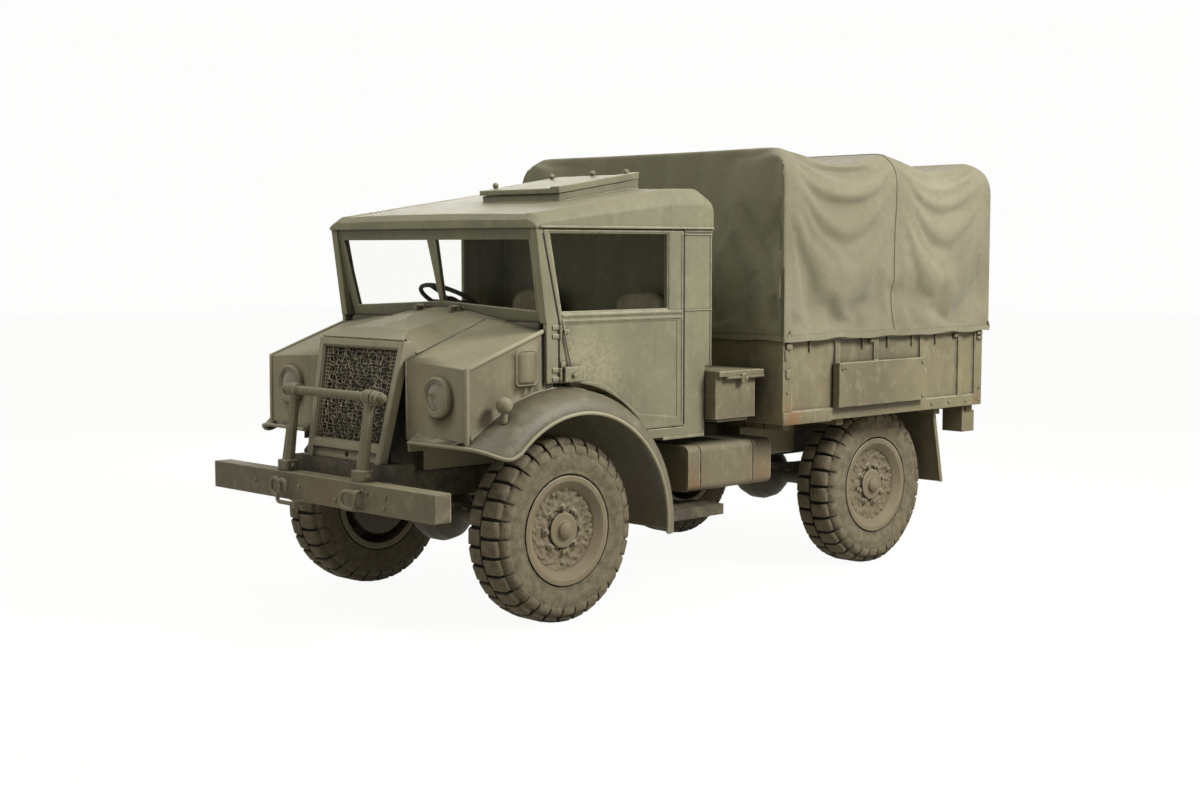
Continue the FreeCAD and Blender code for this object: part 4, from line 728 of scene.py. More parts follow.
# %% Both rows of bars
def tread(bar):
    """Thirty bars round the wheel, and thirty more on the other shoulder, half a step on."""
    only(bar)
    edit()
    everything()
    bpy.ops.mesh.spin(steps=BARS, dupli=True, angle=math.tau, center=(0, 0, 0),
                      axis=(1, 0, 0))
    everything()
    bpy.ops.mesh.remove_doubles(threshold=0.0002)
    leave_edit()
    only(bar)
    bpy.ops.object.duplicate()
    other = bpy.context.object
    other.scale.x = -1
    other.rotation_euler.x = PITCH / 2
    freeze()
    whole("normals_make_consistent", inside=False)
    return join([bar, other], "tread")


tyre = join([casing, tread(bar)], "tyre_pattern")
print("tyre", len(tyre.data.polygons), "faces,", [round(v, 3) for v in tyre.dimensions])

# %% [markdown]
# No two tyres are worn alike or stand at the same turn, so each copy is pushed about by
# another part of the noise and turned by a part of a step before it goes on its wheel.

# %% Four tyres in place
def worn(thing, strength, size, seed):
    """Push a surface in and out by a cloud of lumps, as rubber and mud are never true."""
    cloud = bpy.data.textures.new(thing.name + "_lumps", "CLOUDS")
    cloud.noise_scale = size
    cloud.noise_depth = 3
    thing.location.y += seed
    only(thing)
    bpy.ops.object.transform_apply(location=True, rotation=False, scale=False)
    modify(thing, "DISPLACE", texture=cloud, strength=strength, texture_coords="LOCAL",
           mid_level=0.5)
    thing.location.y -= seed
    only(thing)
    bpy.ops.object.transform_apply(location=True, rotation=False, scale=False)


def copy_of(thing, name):
    """A full copy, which becomes the active piece."""
    only(thing)
    bpy.ops.object.duplicate()
    made = bpy.context.object
    made.name = name
    return made


for index, corner in enumerate(corners):
    low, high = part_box("tyre_" + corner)
    piece = copy_of(tyre, "lugged_tyre_" + corner)
    worn(piece, -0.005, 0.05, 3.0 * index)
    piece.rotation_euler.x = 0.37 * index * PITCH
    piece.location = (low + high) / 2
    done(piece, piece.name, tyre_rubber, "wheel_" + corner, 40)
    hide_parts("tyre_" + corner)
bpy.data.objects.remove(tyre)
print("four tyres of", len(piece.data.polygons), "faces")

# %% [markdown]
# The tilt is one big cloth thrown over three hoops and lashed down at its hem. Cloth that
# is tied only at its hoops and corners hangs between them in U-shaped swags, which crowd
# together at the ties. Those big folds are set by where the cloth is tied, so they are
# drawn by a rule. The cloth solver then lets the whole sheet settle a little, and adds
# the small creases that no rule gives.

# %% Cut the tilt
HEM, CROWN, TILT_HALF = 1400, 2482, 1099
TILT_ROUND = 0.17
BOWS = (1558, 2500, 3400)
BAYS = ((1490, 2500), (2500, 3460))
# Y, top and half width of the cloth's outline where it changes, in millimetres.
OUTLINE = [(1474, 2422, 1091), (1486, 2458, 1096), (1514, 2478, 1099), (1558, 2481, 1099),
           (2000, 2448, 1094), (2500, 2476, 1099), (2950, 2412, 1093), (3400, 2448, 1099),
           (3460, 2442, 1097), (3480, 2414, 1091)]


def slice_at(thing, axis, places):
    """Cut the mesh by planes at these places, so that it can fold along them."""
    normal = [0, 0, 0]
    normal[axis] = 1
    edit()
    for place in places:
        spot = [0, 0, 0]
        spot[axis] = place
        everything()
        bpy.ops.mesh.bisect(plane_co=spot, plane_no=normal)
    leave_edit()


def even_places(low, high, gap):
    """Even places between two ends, about a gap apart."""
    count = max(1, round((high - low) / gap))
    return [low + (high - low) * index / count for index in range(1, count)]


def cut_tilt():
    """A box of cloth, open below, with round shoulders and even faces 32 to 40 mm across."""
    fresh()
    low, high = at(-TILT_HALF, 1474, HEM), at(TILT_HALF, 3480, CROWN)
    bpy.ops.mesh.primitive_cube_add(size=1, location=(low + high) / 2)
    cloth = bpy.context.object
    cloth.name = "canvas_tilt"
    cloth.dimensions = high - low
    freeze()
    edit()
    pick(lambda centre, normal: normal.z < -0.9)
    bpy.ops.mesh.delete(type="FACE")
    edit("EDGE")
    pick(lambda a, b: min(a.z, b.z) > high.z - MM and abs(a.y - b.y) > 1, "edges")
    bpy.ops.mesh.bevel(offset=TILT_ROUND, segments=7)
    leave_edit()
    near = [at(0, y, 0).y for y in (1480, 1486, 1498, 1514, 1535, 3440, 3460, 3472)]
    slice_at(cloth, 1, near + even_places(near[4], near[5], 0.032))
    slice_at(cloth, 2, even_places(low.z, high.z - TILT_ROUND, 0.034))
    edge = [side * (TILT_HALF - inset) * MM for side in (-1, 1) for inset in (10, 22, 40)]
    slice_at(cloth, 0, edge + even_places(edge[1], edge[4], 0.040))
    return cloth


tilt_cloth = cut_tilt()

# %% Folds by rule
def between(value, low, high):
    """0 below low, 1 above high, and a smooth rise in between."""
    share = min(1.0, max(0.0, (value - low) / (high - low)))
    return share * share * (3 - 2 * share)


def outline_at(y):
    """Top and half width of the cloth at this place along the truck."""
    for (y0, top0, half0), (y1, top1, half1) in zip(OUTLINE, OUTLINE[1:]):
        if y <= y1:
            share = between(y, y0, y1)
            return top0 + (top1 - top0) * share, half0 + (half1 - half0) * share
    return OUTLINE[-1][1:]


def wander(x, y, z, size, reach):
    """Slow noise, so that no fold is as straight as a ruler."""
    return reach * noise.noise(Vector((x, y, z)) / size)


def side_folds(y, drop, hand):
    """How far the side cloth stands out, from swags that fan out of the tied corners."""
    start, end = BAYS[0] if y < 2500 else BAYS[1]
    y += wander(hand, y, drop, 700, 40) * between(drop, 100, 500)
    across = (2 * y - start - end) / (end - start)
    slack = max(0.0, 1 - across * across)
    depth = drop / (0.16 + 0.84 * slack ** 0.8) + wander(y, hand, drop, 600, 50)
    turn = 2.75 * math.log(1 + max(0.0, depth) / 520)
    swag = math.cos(math.tau * turn) + 0.22 * math.cos(2 * math.tau * turn + 0.6)
    upper = between(drop, 60, 240) * (1 - between(drop, 330, 900))
    reach = 27.0 * between(slack, 0.03, 0.5) * upper
    fan = math.cos(math.tau * (y - start) / 205 + 2.2 * noise.noise(
        Vector((y * 0.004, drop * 0.0011, hand))))
    lower = between(drop, 330, 760) * (1 - 0.55 * between(drop, 880, 1060))
    wide = 11.0 * between(slack, 0.0, 0.3)
    return reach * swag + wide * lower * fan - 14 * slack * between(drop, 80, 500)


def front_folds(x, drop):
    """How far the front cloth stands back, in long folds that lean to the corners."""
    lean = abs(x) - 0.42 * drop + wander(x, drop, 7, 380, 60)
    fold = math.cos(math.tau * lean / 226) + 0.35 * math.cos(math.tau * lean / 97)
    low = math.cos(math.tau * (drop + 0.5 * abs(x)) / 118 + 3 * noise.noise(
        Vector((x * 0.006, drop * 0.006, 3.0))))
    reach = 40.0 * between(drop, 90, 420) * (1 - 0.5 * between(drop, 820, 1060))
    held = 1 - 0.85 * between(drop, 840, 1000)
    return held * (reach * fold + 8.0 * between(drop, 520, 800) * low + 8)


def fold_cloth(cloth):
    """Move every point of the box by the rules: outline, swags, front folds, wavy hem."""
    origin = at(0, 0, 0).y
    for point in cloth.data.vertices:
        x, y, z = point.co.x / MM, (point.co.y - origin) / MM, point.co.z / MM
        top, half = outline_at(y)
        up = (z - HEM) / (CROWN - HEM)
        drop = (CROWN - z) * (top - HEM) / (CROWN - HEM)
        z = HEM + up * (top - HEM)
        wall = between(abs(x), TILT_HALF - 110, TILT_HALF - 8)
        level = x
        x *= half / TILT_HALF
        free = between(y, 1480, 1540) * (1 - between(y, 3440, 3480))
        x += math.copysign(side_folds(y, drop, math.copysign(5, x)), x) * wall * free
        if y < 1490:
            y += max(0.0, front_folds(level, drop)) * (1 - between(abs(level), 1040, 1078))
            if 1080 < abs(level) < 1095:
                y += 20 * between(drop, 560, 700) * (1 - between(drop, 1000, 1060))
        bay = BAYS[0] if y < 2500 else BAYS[1]
        across = (2 * y - bay[0] - bay[1]) / (bay[1] - bay[0])
        z -= 12 * max(0.0, 1 - across * across) * (1 - between(abs(level), 300, 900)) * up
        if drop > 1000:
            z += wander(x, y, 11, 210, 16)
            out = wander(x, y, 5, 240, 12) + 12 * between(y, 3300, 3470)
            x += math.copysign(out * between(drop, 1000, 1080), x) * wall
        point.co = (x * MM, origin + y * MM, z * MM)


fold_cloth(tilt_cloth)
print("folded:", [round(v, 3) for v in tilt_cloth.dimensions])

# %% [markdown]
# The hoops, seams and lashings hold the cloth; the rest is free to settle under its own
# weight for 16 frames, which is enough to lose the look of a rule.

# %% Let it settle
def tie(thing, test, name="tied"):
    """A vertex group of the points that the hoops, seams and lashings hold."""
    group = thing.vertex_groups.new(name=name)
    held = [v.index for v in thing.data.vertices if test(v.co)]
    group.add(held, 1.0, "REPLACE")
    return len(held)


def is_tied(spot):
    """Hem, front and rear corner seams, and the tops of the hoops."""
    y = (spot.y - at(0, 0, 0).y) / MM
    hem = spot.z < (HEM + 40) * MM
    on_bow = spot.z > 2.16 and min(abs(y - bow) for bow in BOWS) < 24
    corner = abs(spot.x) > (TILT_HALF - 45) * MM and (y < 1520 or y > 3450)
    return hem or on_bow or corner


def hang(thing, frames, slack, stiff, heavy=0.4):
    """Cloth solver for a number of frames, then its result becomes the mesh. Slack is the
    share that the cloth may grow, and heavy is the mass of a point."""
    only(thing)
    made = thing.modifiers.new("cloth", "CLOTH")
    cloth = made.settings
    cloth.quality = 6
    cloth.mass = heavy
    cloth.tension_stiffness = cloth.compression_stiffness = 25
    cloth.shear_stiffness = 12
    cloth.bending_stiffness = stiff
    cloth.air_damping = 2
    cloth.shrink_min = -slack
    cloth.vertex_group_mass = "tied"
    made.point_cache.frame_end = frames
    for number in range(1, frames + 1):
        bpy.context.scene.frame_set(number)
    bpy.ops.object.modifier_apply(modifier=made.name)
    bpy.context.scene.frame_set(1)


print("held points:", tie(tilt_cloth, is_tied))
hang(tilt_cloth, 16, 0.012, 3)

# %% [markdown]
# A hem and flat seams are a second layer of the same cloth, so they are copies of its own
# faces, lifted by their thickness.

# %% Hem and thickness
def doubled(thing, test, name, lift):
    """A strip of the same cloth laid over it, as a hem or a flat seam is."""
    only(thing)
    bpy.ops.object.duplicate()
    strip = bpy.context.object
    strip.name = name
    edit()
    pick(lambda centre, normal: not test(centre, normal))
    bpy.ops.mesh.delete(type="FACE")
    everything()
    bpy.ops.transform.shrink_fatten(value=lift)
    leave_edit()
    modify(strip, "SOLIDIFY", thickness=0.004, offset=0)
    return strip


def near_y(spot, y, reach):
    """Whether a point lies within reach of a place along the truck, in millimetres."""
    return abs(spot.y - at(0, y, 0).y) < reach * MM


modify(tilt_cloth, "SUBSURF", levels=1, render_levels=1)
strips = [
    doubled(tilt_cloth, lambda c, n: c.z < (HEM + 34) * MM, "hem", 0.004),
    doubled(tilt_cloth, lambda c, n: abs(c.x) > 1.06 and abs(n.x) > 0.5
            and near_y(c, 1490, 34), "corner_seam", 0.006),
    doubled(tilt_cloth, lambda c, n: near_y(c, 2500, 17), "side_seam", 0.0035)]
modify(tilt_cloth, "SOLIDIFY", thickness=0.003, offset=0)
done(tilt_cloth, "canvas_tilt", canvas, "chassis", 80)
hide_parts("tilt")
seams = done(join(strips, "canvas_hems"), "canvas_hems", canvas, "chassis", 80)

# %% [markdown]
# The stone guard in front of the radiator is coarse wire that has been knocked about for
# years. A flat grid is shaken out of true, then the Wireframe modifier turns each of its
# edges into a wire. That keeps every wire joined to its neighbours, as in a real weave.

# %% Stone guard
FOOT_WIDE, TOP_WIDER = 0.554, 0.143
WIRE_THICK, WIRE_DENTS = 0.0065, 0.013
LOOSE_HALF_WIDE, LOOSE_HALF_HIGH = 0.255, 0.22


def stone_guard():
    """A grid that leans and widens upwards, dented inside its frame, turned to wires."""
    low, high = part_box("grille_mesh")
    fresh()
    bpy.ops.mesh.primitive_grid_add(x_subdivisions=27, y_subdivisions=25, size=1,
                                    rotation=(math.pi / 2, 0, 0))
    wire = bpy.context.object
    bpy.ops.object.transform_apply(location=False, rotation=True, scale=False)
    edit("VERT")
    everything()
    bpy.ops.transform.resize(value=(FOOT_WIDE, 1, high.z - low.z))
    leave_edit()
    for vertex in wire.data.vertices:
        share = vertex.co.z / (high.z - low.z) + 0.5
        vertex.co.x *= 1 + TOP_WIDER * share
        vertex.co.y = share * (high.y - low.y - 0.012)
    inner = [v.index for v in wire.data.vertices
             if abs(v.co.x) < LOOSE_HALF_WIDE and abs(v.co.z) < LOOSE_HALF_HIGH]
    edit("VERT")
    bpy.ops.mesh.select_all(action="DESELECT")
    leave_edit()
    for index in inner:
        wire.data.vertices[index].select = True
    bpy.ops.object.mode_set(mode="EDIT")
    bpy.ops.transform.vertex_random(offset=WIRE_DENTS, uniform=0.4, seed=7)
    leave_edit()
    modify(wire, "WIREFRAME", thickness=WIRE_THICK, use_even_offset=False)
    wire.location = (0, low.y + 0.006, (low.z + high.z) / 2)
    only(wire)
    freeze()
    return wire


guard = done(stone_guard(), "stone_guard_wire", screen_steel, "chassis", 60)
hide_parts("grille_mesh")
print("stone guard", len(guard.data.polygons), "faces")

# %% [markdown]
# Small steel fittings are most of what makes a truck look built and not cast: rolled
# beads, latches, bolts. Each kind is modelled once and set down where the real one is. A
# bead or a latch is a block whose edges are rounded by a bevel, because even the smallest
# pressing has a radius that catches the light.

# %% Small fittings
def block(low, high, round_mm=3, segments=2):
    """A plate or block between two corners, in millimetres, with rounded edges."""
    fresh()
    a, b = at(*low), at(*high)
    bpy.ops.mesh.primitive_cube_add(size=1, location=(a + b) / 2)
    thing = bpy.context.object
    thing.dimensions = b - a
    freeze()
    modify(thing, "BEVEL", width=round_mm * MM, segments=segments)
    return thing


def mirrored(thing):
    """The same piece on the truck's other side."""
    other = copy_of(thing, thing.name + "_other")
    other.scale.x = -1
    freeze()
    whole("normals_make_consistent", inside=False)
    return other


def both_sides(pieces):
    """The left-hand pieces and their mirror images."""
    return pieces + [mirrored(piece) for piece in pieces]


def bolt_head(radius):
    """A hexagon head with a domed top, on its round washer, pointing up."""
    fresh()
    bpy.ops.mesh.primitive_cylinder_add(vertices=6, radius=radius * MM, depth=radius * MM)
    head = bpy.context.object
    edit()
    pick(lambda centre, normal: normal.z > 0.9)
    bpy.ops.mesh.inset(thickness=0.14 * radius * MM)
    bpy.ops.transform.translate(value=(0, 0, 0.14 * radius * MM))
    leave_edit()
    bpy.ops.mesh.primitive_cylinder_add(vertices=16, radius=1.5 * radius * MM,
                                        depth=0.3 * radius * MM,
                                        location=(0, 0, -0.5 * radius * MM))
    washer = bpy.context.object
    modify(washer, "BEVEL", width=0.1 * radius * MM, segments=1)
    return join([head, washer], "bolt")


def set_down(pattern, spots, name):
    """Copies of one small piece, each at a place and facing a direction, as one mesh."""
    made = []
    for index, (place, facing) in enumerate(spots):
        one = copy_of(pattern, name)
        turn = Vector(facing).to_track_quat("Z", "Y").to_matrix().to_4x4()
        one.matrix_world = Matrix.Translation(place) @ turn @ Matrix.Rotation(index, 4, "Z")
        made.append(one)
    only(*made)
    freeze()
    return join(made, name)


bolt = bolt_head(10)
print("bolt", len(bolt.data.polygons), "faces")

# %% [markdown]
# Bolts stand in the bumper, the flat lockers and the bed's lower rail, one by one and not
# at even steps, because real ones follow the brackets behind the sheet. Only the heads
# show, 7 mm proud: their washers are sunk in the sheet.

# %% Bolts
FRONT = (0, -1, 0)
bumper_bolts = [(at(x, -901, z), FRONT) for x, z in
                ((425, 714), (577, 706), (564, 649), (-160, 690), (-560, 690), (160, 650))]
side_bolts = [(at(side * 1126, y, z), (side, 0, 0)) for side in (-1, 1)
              for y, z in ((1966, 1228), (1992, 1232), (2740, 1030), (2738, 1232))]
bed_bolts = [(at(side * 1081, y, z), (side, 0, 0)) for side in (-1, 1)
             for y, z in ((1520, 965), (1640, 965), (1800, 965), (2900, 965), (3080, 968),
                          (3260, 962), (3400, 965), (3400, 1040), (1530, 1110))]
bolts = set_down(bolt, bumper_bolts + side_bolts + bed_bolts, "body_bolts")
done(bolts, "body_bolts", bumper_paint, "chassis", 30)
bpy.data.objects.remove(bolt)
print("bolts:", len(bumper_bolts + side_bolts + bed_bolts))

# %% [markdown]
# A rolled bead stiffens a flat sheet, so the cab's rear corner has three across and one
# along its edge. The bed's sides carry latches, a row of small dividers along their upper
# rail, and a plate that stiffens their front end.

# %% Beads of the cab and fittings of the bed
beads = [block((868, 905, z), (875.5, 1127, z + 9), 3) for z in (1577, 1986, 2004)]
beads.append(block((868, 1112, 1280), (874, 1122, 1986), 2.5))
cab_beads = done(join(both_sides(beads), "cab_beads"), "cab_beads", cab_paint, "chassis",
                 30)
latches = [block((1058, y, z), (1080 + reach, y + width, z + height), 3)
           for y, z, width, height, reach in (
               (1512, 1188, 34, 52, 9), (1508, 1352, 44, 30, 16), (3364, 1346, 52, 18, 14),
               (3364, 1376, 52, 18, 14), (2273, 1368, 36, 24, 10),
               (3125, 1368, 36, 24, 10), (1502, 1290, 22, 60, 8))]
dividers = [block((1062, 1490 + 242 * i - 5, 1330), (1077, 1490 + 242 * i + 5, 1397), 2)
            for i in range(1, 8)]
front_plate = block((1078, 1490, 926), (1087, 1915, 998), 3)
bed_trim = done(join(both_sides(latches + dividers + [front_plate]), "bed_fittings"),
                "bed_fittings", bed_paint, "chassis", 30)
print("beads", len(cab_beads.data.polygons), "bed", len(bed_trim.data.polygons), "faces")

# %% [markdown]
# Each toolbox lid ends in a rolled lip that stiffens it, with a staple for a padlock. Both
# ride on the lid, so they swing with it.

# %% Rolled lip and staple of each toolbox lid
def rod(start, end, radius, sides=12):
    """A round bar between two points, in millimetres, with eased ends."""
    fresh()
    a, b = at(*start), at(*end)
    bpy.ops.mesh.primitive_cylinder_add(vertices=sides, radius=radius * MM,
                                        depth=(b - a).length, location=(a + b) / 2)
    bar = bpy.context.object
    bar.rotation_euler = (b - a).to_track_quat("Z", "Y").to_euler()
    freeze()
    modify(bar, "BEVEL", width=0.25 * radius * MM, segments=2, limit_method="ANGLE",
           angle_limit=math.radians(60))
    return bar


lid_roll = rod((980, 1138, 1207), (980, 1438, 1207), 8)
staple = block((980, 1275, 1186), (994, 1297, 1206), 3)
for side, pieces in (("left", [lid_roll, staple]),
                     ("right", [mirrored(lid_roll), mirrored(staple)])):
    done(join(pieces, "lid_roll_" + side), "lid_roll_" + side, bed_paint,
         "toolbox_lid_" + side, 40)
print("toolbox lids finished")

# %% [markdown]
# Rubber seals close the gaps round a door: a flat strip at its rear edge, and a round
# cord up its front edge, which leans forward above the waist. They stay on the cab.

# %% Rubber seals of the doors
seals = [block((868, 902, 962), (872, 911, 1986), 1.5),
         rod((868, -19, 1240), (868, -19, 1552), 4.5),
         rod((868, -19, 1552), (868, -125, 1994), 4.5)]
door_seals = done(join(both_sides(seals), "door_seals"), "door_seals", core_black,
                  "chassis", 30)
print("door seals", len(door_seals.data.polygons), "faces")

# %% [markdown]
# Each front wing is a deep pressing: flat panels carry the lamp and the hatch, and a full
# round shoulder runs over the wheel to a smooth nose. The panels are kept from the
# engineering part, cut off where the shoulder starts. The shoulder is a grid whose points
# follow the wheel opening, because subdivision then gives one unbroken curve. Its edge is
# a rolled lip: the sheet is wrapped round a wire, so it stays stiff and does not cut.

# %% Round shoulder of a front wing
AXLE_UP = 480
REAR_END_UP = -71
NOSE_STARTS = 24
# (x, radius about the axle) across the shoulder, then (x, y, z) across the nose's edge.
SHOULDER = [(850, 733), (886, 733), (925, 730), (960, 721), (992, 705), (1018, 681),
            (1034, 652), (1041, 630), (1041, 612)]
NOSE_EDGE = [(850, -617, 946), (886, -611, 943), (925, -602, 938), (960, -586, 929),
             (992, -562, 917), (1018, -535, 905), (1034, -508, 899), (1041, -485, 898),
             (1041, -466, 902)]


def shoulder_row(turn):
    """Points across the wing, at one angle in degrees back from the top of the wheel."""
    row = []
    for (x, radius), (_, tip_y, tip_z) in zip(SHOULDER, NOSE_EDGE):
        here = min(turn, math.degrees(math.acos(REAR_END_UP / radius)))
        end = math.degrees(math.atan2(-tip_y, tip_z - AXLE_UP))
        share = max(0.0, (-here - NOSE_STARTS) / (end - NOSE_STARTS))
        reach = radius + (math.hypot(tip_y, tip_z - AXLE_UP) - radius) * share ** 2
        swing = math.radians(here)
        row.append((x, reach * math.sin(swing), AXLE_UP + reach * math.cos(swing)))
    return row


def round_shoulder():
    """The grid of those rows, smoothed, turned outwards and given its thickness."""
    rows = [shoulder_row(turn) for turn in range(99, -46, -12)] + [NOSE_EDGE]
    fresh()
    bpy.ops.mesh.primitive_grid_add(x_subdivisions=len(SHOULDER) - 1,
                                    y_subdivisions=len(rows) - 1, size=1)
    sheet = bpy.context.object
    spots = [at(*spot) for row in rows for spot in row]
    for vertex, spot in zip(sheet.data.vertices, spots):
        vertex.co = spot
    modify(sheet, "SUBSURF", levels=2, render_levels=2,
           boundary_smooth="PRESERVE_CORNERS")
    if sum(face.normal.z * face.area for face in sheet.data.polygons) < 0:
        whole("flip_normals")
    modify(sheet, "SOLIDIFY", thickness=0.004, offset=-1)
    return sheet


shoulder = round_shoulder()
panels = copy_of(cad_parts["wing_left"], "wing_panels")
whole("remove_doubles", threshold=0.00001)
outside = block((851, -760, 300), (1140, 860, 1260), 1)
modify(panels, "BOOLEAN", operation="DIFFERENCE", object=outside, solver="EXACT")
bpy.data.objects.remove(outside)
# The shoulder takes the darker wing paint, painted shade; the panels keep the nose paint.
for part, paint in ((panels, nose_paint), (shoulder, wing_paint_painted_shade)):
    part.data.materials.clear()
    part.data.materials.append(paint)
front_wing = join([panels, shoulder], "front_wing_left")
for side, piece in (("right", mirrored(front_wing)), ("left", front_wing)):
    done(piece, "front_wing_" + side, None, "chassis", 35)
    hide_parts("wing_" + side)
print("front wing", len(front_wing.data.polygons), "faces")

# %% [markdown]
# The rolled lip is a bar bent along the wheel opening, and a second bar runs up the edge
# of the lamp panel. A bent bar is one point extruded from place to place, turned into a
# curve and given its thickness, which keeps it round at every bend.

# %% Rolled lips of the wings
OPENING_R = 611


def tube(points, radius, smooth=2):
    """A bent bar through points in millimetres: one vertex extruded along, then bevelled."""
    fresh()
    start = at(*points[0])
    bpy.ops.mesh.primitive_plane_add(size=0.01, location=start)
    line = bpy.context.object
    bpy.ops.object.transform_apply(location=True)
    edit("VERT")
    everything()
    bpy.ops.mesh.merge(type="CENTER")
    for before, after in zip(points, points[1:]):
        step = tuple(at(*after) - at(*before))
        bpy.ops.mesh.extrude_region_move(TRANSFORM_OT_translate={"value": step})
    leave_edit()
    only(line)
    bpy.ops.object.convert(target="CURVE")
    line.data.bevel_depth = radius * MM
    line.data.bevel_resolution = smooth
    line.data.use_fill_caps = True
    bpy.ops.object.convert(target="MESH")
    return line


opening = [(1040, OPENING_R * math.sin(math.radians(turn)),
            AXLE_UP + OPENING_R * math.cos(math.radians(turn)))
           for turn in range(-44, 97, 5)]
lip_line = [(452, -660, 946), (700, -634, 944), (850, -617, 942), (905, -607, 938),
            (948, -592, 931), (984, -568, 919), (1013, -540, 905), (1033, -508, 896),
            (1041, -484, 896), (1041, -460, 903)]
lip = tube(lip_line + opening, 10)
edge = tube([(845, -603, 952), (845, -603, 1150), (845, -603, 1327), (845, -350, 1414),
             (845, -104, 1499)], 12)
# The lips take the pale paint: a painted highlight along the rolled edges.
lips = done(join(both_sides([lip, edge]), "wing_lips"), "wing_lips", pale_edge_and_highlight_paint,
            "chassis", 50)
print("wing lips", len(lips.data.polygons), "faces")

# %% [markdown]
# Dried mud lies in the dish of each wheel as a lumpy ring, and the eight nuts stand in
# it. The mud is a traced line spun round the axle, cut fine, and pushed about by noise of
# two sizes: clouds for the lumps, cells for the grains.

# %% Wheel nuts and mud
MUD_LINE = [(76, 93), (85, 104), (91, 122), (85, 146), (87, 170), (90, 190), (92, 206),
            (88, 217), (80, 222)]


def mud_ring():
    """The spun line, cut fine and roughened, facing outwards."""
    ring = spin_about_x(trace(MUD_LINE, "mud"), 128)
    whole("subdivide", number_cuts=2)
    coarse = bpy.data.textures.new("mud_lumps", "CLOUDS")
    coarse.noise_scale, coarse.noise_depth = 0.028, 4
    grains = bpy.data.textures.new("mud_grains", "VORONOI")
    grains.noise_scale = 0.012
    modify(ring, "DISPLACE", texture=coarse, strength=0.036, direction="X",
           texture_coords="LOCAL", mid_level=0.62)
    modify(ring, "DISPLACE", texture=grains, strength=0.006, direction="X",
           texture_coords="LOCAL", mid_level=0.5)
    if sum(face.normal.x for face in ring.data.polygons) < 0:
        whole("flip_normals")
    return ring


def wheel_nuts():
    """Eight nuts on a circle 230 mm across, for a left-hand wheel."""
    nut = bolt_head(14)
    spots = []
    for index in range(8):
        turn = math.tau * index / 8
        place = Vector((0.094, 0.115 * math.cos(turn), 0.115 * math.sin(turn)))
        spots.append((place, (1, 0, 0)))
    made = set_down(nut, spots, "nuts")
    bpy.data.objects.remove(nut)
    return made


mud = mud_ring()
nuts = wheel_nuts()
print("mud", len(mud.data.polygons), "faces, nuts", len(nuts.data.polygons))

# %% Four wheel faces in place
for index, corner in enumerate(corners):
    low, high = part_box("tyre_" + corner)
    face = join([copy_of(mud, "mud_" + corner), copy_of(nuts, "nuts_" + corner)],
                "wheel_mud_" + corner)
    face.rotation_euler.x = 1.7 * index
    freeze()
    face.location = (low + high) / 2
    if "right" in corner:
        face.scale.x = -1
        freeze()
        whole("flip_normals")
    done(face, "wheel_mud_" + corner, wheel_paint, "wheel_" + corner, 60)
for spare in (mud, nuts):
    bpy.data.objects.remove(spare)
print("four wheel faces")

# %% [markdown]
# The driver and the passenger sit on leather pads filled with horsehair. A pad is a bag
# blown up from inside: its faces crown, its sides pull in between the corners, and its
# seams stay narrow. Blowing it up with the cloth solver gives that for nothing.

# %% One padded cushion
def pad(low, high, round_mm, leather, cap):
    """A rounded block, remeshed and blown up by cloth pressure, never by more than cap."""
    shape = block(low, high, round_mm, 3)
    modify(shape, "REMESH", mode="VOXEL", voxel_size=0.011)
    start = [v.co.copy() for v in shape.data.vertices]
    only(shape)
    made = shape.modifiers.new("cloth", "CLOTH")
    cloth = made.settings
    cloth.quality = 4
    cloth.use_pressure = True
    cloth.uniform_pressure_force = 4
    cloth.effector_weights.gravity = 0
    made.point_cache.frame_end = 14
    for number in range(1, 15):
        bpy.context.scene.frame_set(number)
    bpy.ops.object.modifier_apply(modifier=made.name)
    bpy.context.scene.frame_set(1)
    for vertex, home in zip(shape.data.vertices, start):
        move = vertex.co - home
        if move.length > cap * MM:
            vertex.co = home + move.normalized() * cap * MM
    modify(shape, "SUBSURF", levels=1, render_levels=1)
    shape.data.materials.append(leather)
    return shape


def welt(pad_low, pad_high, z, radius):
    """The piped seam round a cushion's upper edge: a thin tube on a rounded rectangle."""
    fresh()
    a, b = at(*pad_low), at(*pad_high)
    bpy.ops.mesh.primitive_plane_add(size=1, location=((a.x + b.x) / 2, (a.y + b.y) / 2,
                                                       z * MM))
    loop = bpy.context.object
    loop.dimensions = (b.x - a.x, b.y - a.y, 0)
    freeze()
    edit("VERT")
    everything()
    bpy.ops.mesh.bevel(offset=0.035, segments=5, affect="VERTICES")
    bpy.ops.mesh.delete(type="ONLY_FACE")
    leave_edit()
    only(loop)
    bpy.ops.object.convert(target="CURVE")
    loop.data.bevel_depth = radius * MM
    loop.data.bevel_resolution = 2
    bpy.ops.object.convert(target="MESH")
    return loop


# %% [markdown]
# A seat is a cushion with a piped seam, and a squab, the pad behind the back. The squab is
# drawn standing on the ground. The corners of its top are rounded down, its face is
# crowned forward in the middle, and then it is lifted into place and leaned back.

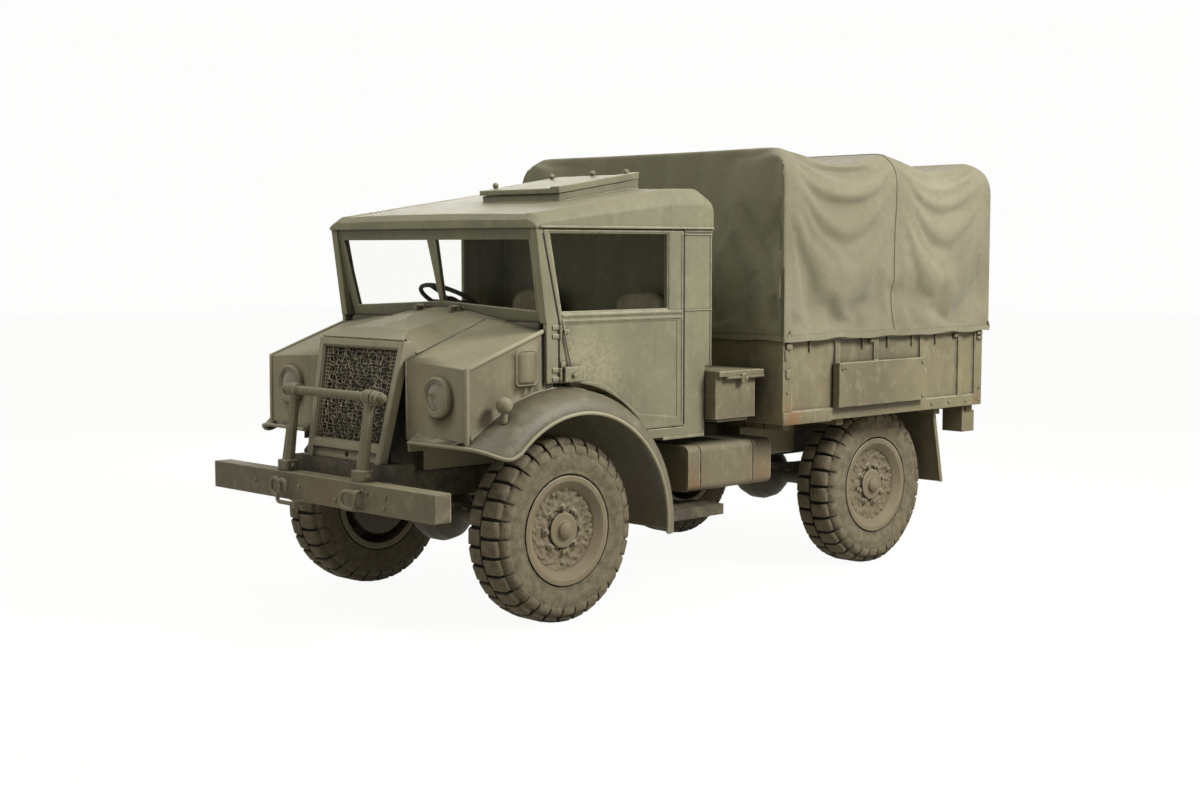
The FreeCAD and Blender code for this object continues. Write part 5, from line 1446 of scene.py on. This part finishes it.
# %% Both seats
cushion = pad((248, 608, 1128), (652, 1002, 1228), 30, seat_leather_painted_light, 9)
piping = welt((246, 606, 0), (654, 1004, 0), 1216, 4)
squab = pad((250, 0, 0), (650, 56, 440), 26, seat_leather_painted_light, 9)
seat_x = at(450, 0, 0).x
for vertex in squab.data.vertices:
    across = (vertex.co.x - seat_x) / 0.205
    share = vertex.co.z / 0.44
    vertex.co.z -= 0.15 * max(0.0, abs(across) - 0.25) ** 2.2 * between(share, 0.3, 1.0)
    vertex.co.y -= 0.02 * (1 - across * across) * between(share, 0.05, 0.5)
squab.location = at(0, 968, 1246) - at(0, 0, 0)
only(squab)
freeze()
LEAN, FOOT_UP = 0.052, 1.235
for vertex in squab.data.vertices:
    vertex.co.y += LEAN * (vertex.co.z - FOOT_UP)
for name, part in (("seat_cushion", cushion), ("seat_squab", squab)):
    for side, piece in (("left", part), ("right", mirrored(part))):
        done(piece, name + "_" + side, seat_leather_painted_light, "chassis", 70)
        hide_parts("seats")
done(join(both_sides([piping]), "seat_piping"), "seat_piping", seat_leather_painted_light, "chassis",
     70)
print("seats:", len(cushion.data.polygons), "and", len(squab.data.polygons), "faces")

# %% [markdown]
# Each headlamp has a glass lens with a shallow dome. It is a disc whose face is inset ring
# by ring, each ring raised a little more towards the middle.

# %% Lamp lenses
LENS_R = 0.0725
LAMP_FACE = -603 - 26


def lens(x):
    """One lens, at this distance from the middle of the truck."""
    low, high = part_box("lamps")
    fresh()
    bpy.ops.mesh.primitive_circle_add(vertices=64, radius=LENS_R, fill_type="NGON",
                                      rotation=(math.pi / 2, 0, 0))
    disc = bpy.context.object
    bpy.ops.object.transform_apply(rotation=True)
    edit()
    everything()
    for width, rise in ((0.006, 0.0), (0.012, 0.0035), (0.016, 0.003), (0.018, 0.002)):
        bpy.ops.mesh.inset(thickness=width)
        bpy.ops.transform.translate(value=(0, -rise, 0))
    leave_edit()
    whole("normals_make_consistent", inside=False)
    modify(disc, "SOLIDIFY", thickness=0.002, offset=1)
    disc.location = at(x, LAMP_FACE, 1181)
    return disc


lenses = done(join([lens(-636), lens(636)], "headlamp_lenses"), "headlamp_lenses",
              lamp_lens, "chassis", 50)
print("lenses", len(lenses.data.polygons), "faces")

# %% [markdown]
# Each door has a round knob, a small plate at its waist and a stay rod. The rod stays
# behind the line of the hinges, so that it clears the cab when the door swings out.

# %% Door fittings
stay = rod((883, 56, 1314), (883, -1, 1541), 5)
knob = rod((884, 60, 1272), (912, 60, 1272), 11)
plate = block((869, -8, 1300), (878, 26, 1344), 4)
left_fittings = join([stay, knob, plate], "door_fittings_left")
for side, piece in (("right", mirrored(left_fittings)), ("left", left_fittings)):
    done(piece, "door_fittings_" + side, cab_paint, "door_" + side, 40)
print("door fittings ready")

# %% [markdown]
# A lacing ring stands at each lower corner of the tilt. It is a bent bar, so it is a torus
# with few faces; its staple is a small rounded block.

# %% Lacing rings
def closed_ring(place, radius, bar, turn):
    """A closed ring of round bar."""
    fresh()
    bpy.ops.mesh.primitive_torus_add(location=place, major_radius=radius * MM,
                                     minor_radius=bar * MM, major_segments=24,
                                     minor_segments=8, rotation=turn)
    return bpy.context.object


rings = []
for y in (1512, 3452):
    rings.append(closed_ring(at(1104, y, 1428), 17, 4, (0, math.pi / 2, 0)))
    rings.append(block((1094, y - 7, 1440), (1110, y + 7, 1460), 3))
lacing = done(join(both_sides(rings), "lacing_rings"), "lacing_rings", chassis_steel,
              "chassis", 50)
print("lacing rings", len(lacing.data.polygons), "faces")

# %% [markdown]
# Little of the inside of the cab can be seen, so it is plain: a dashboard with three
# dials without figures, a gear lever with its grip, and three pedals.

# %% Dashboard and pedals
dash = block((-800, -92, 1440), (800, -20, 1540), 20, 3)
dials = [rod((x, -22, 1490), (x, -8, 1490), 38, 32) for x in (-440, -330, -220)]
lever = rod((-60, 250, 915), (-30, 190, 1330), 9)
grip = rod((-30, 190, 1322), (-26, 184, 1356), 20, 20)
pedals = [block((x, -20, 990), (x + 60, -6, 1060), 4) for x in (-560, -470, -340)]
inside = join([dash, lever, grip] + dials + pedals, "cab_interior")
done(inside, "cab_interior", chassis_steel, "chassis", 40)
print("interior", len(inside.data.polygons), "faces")
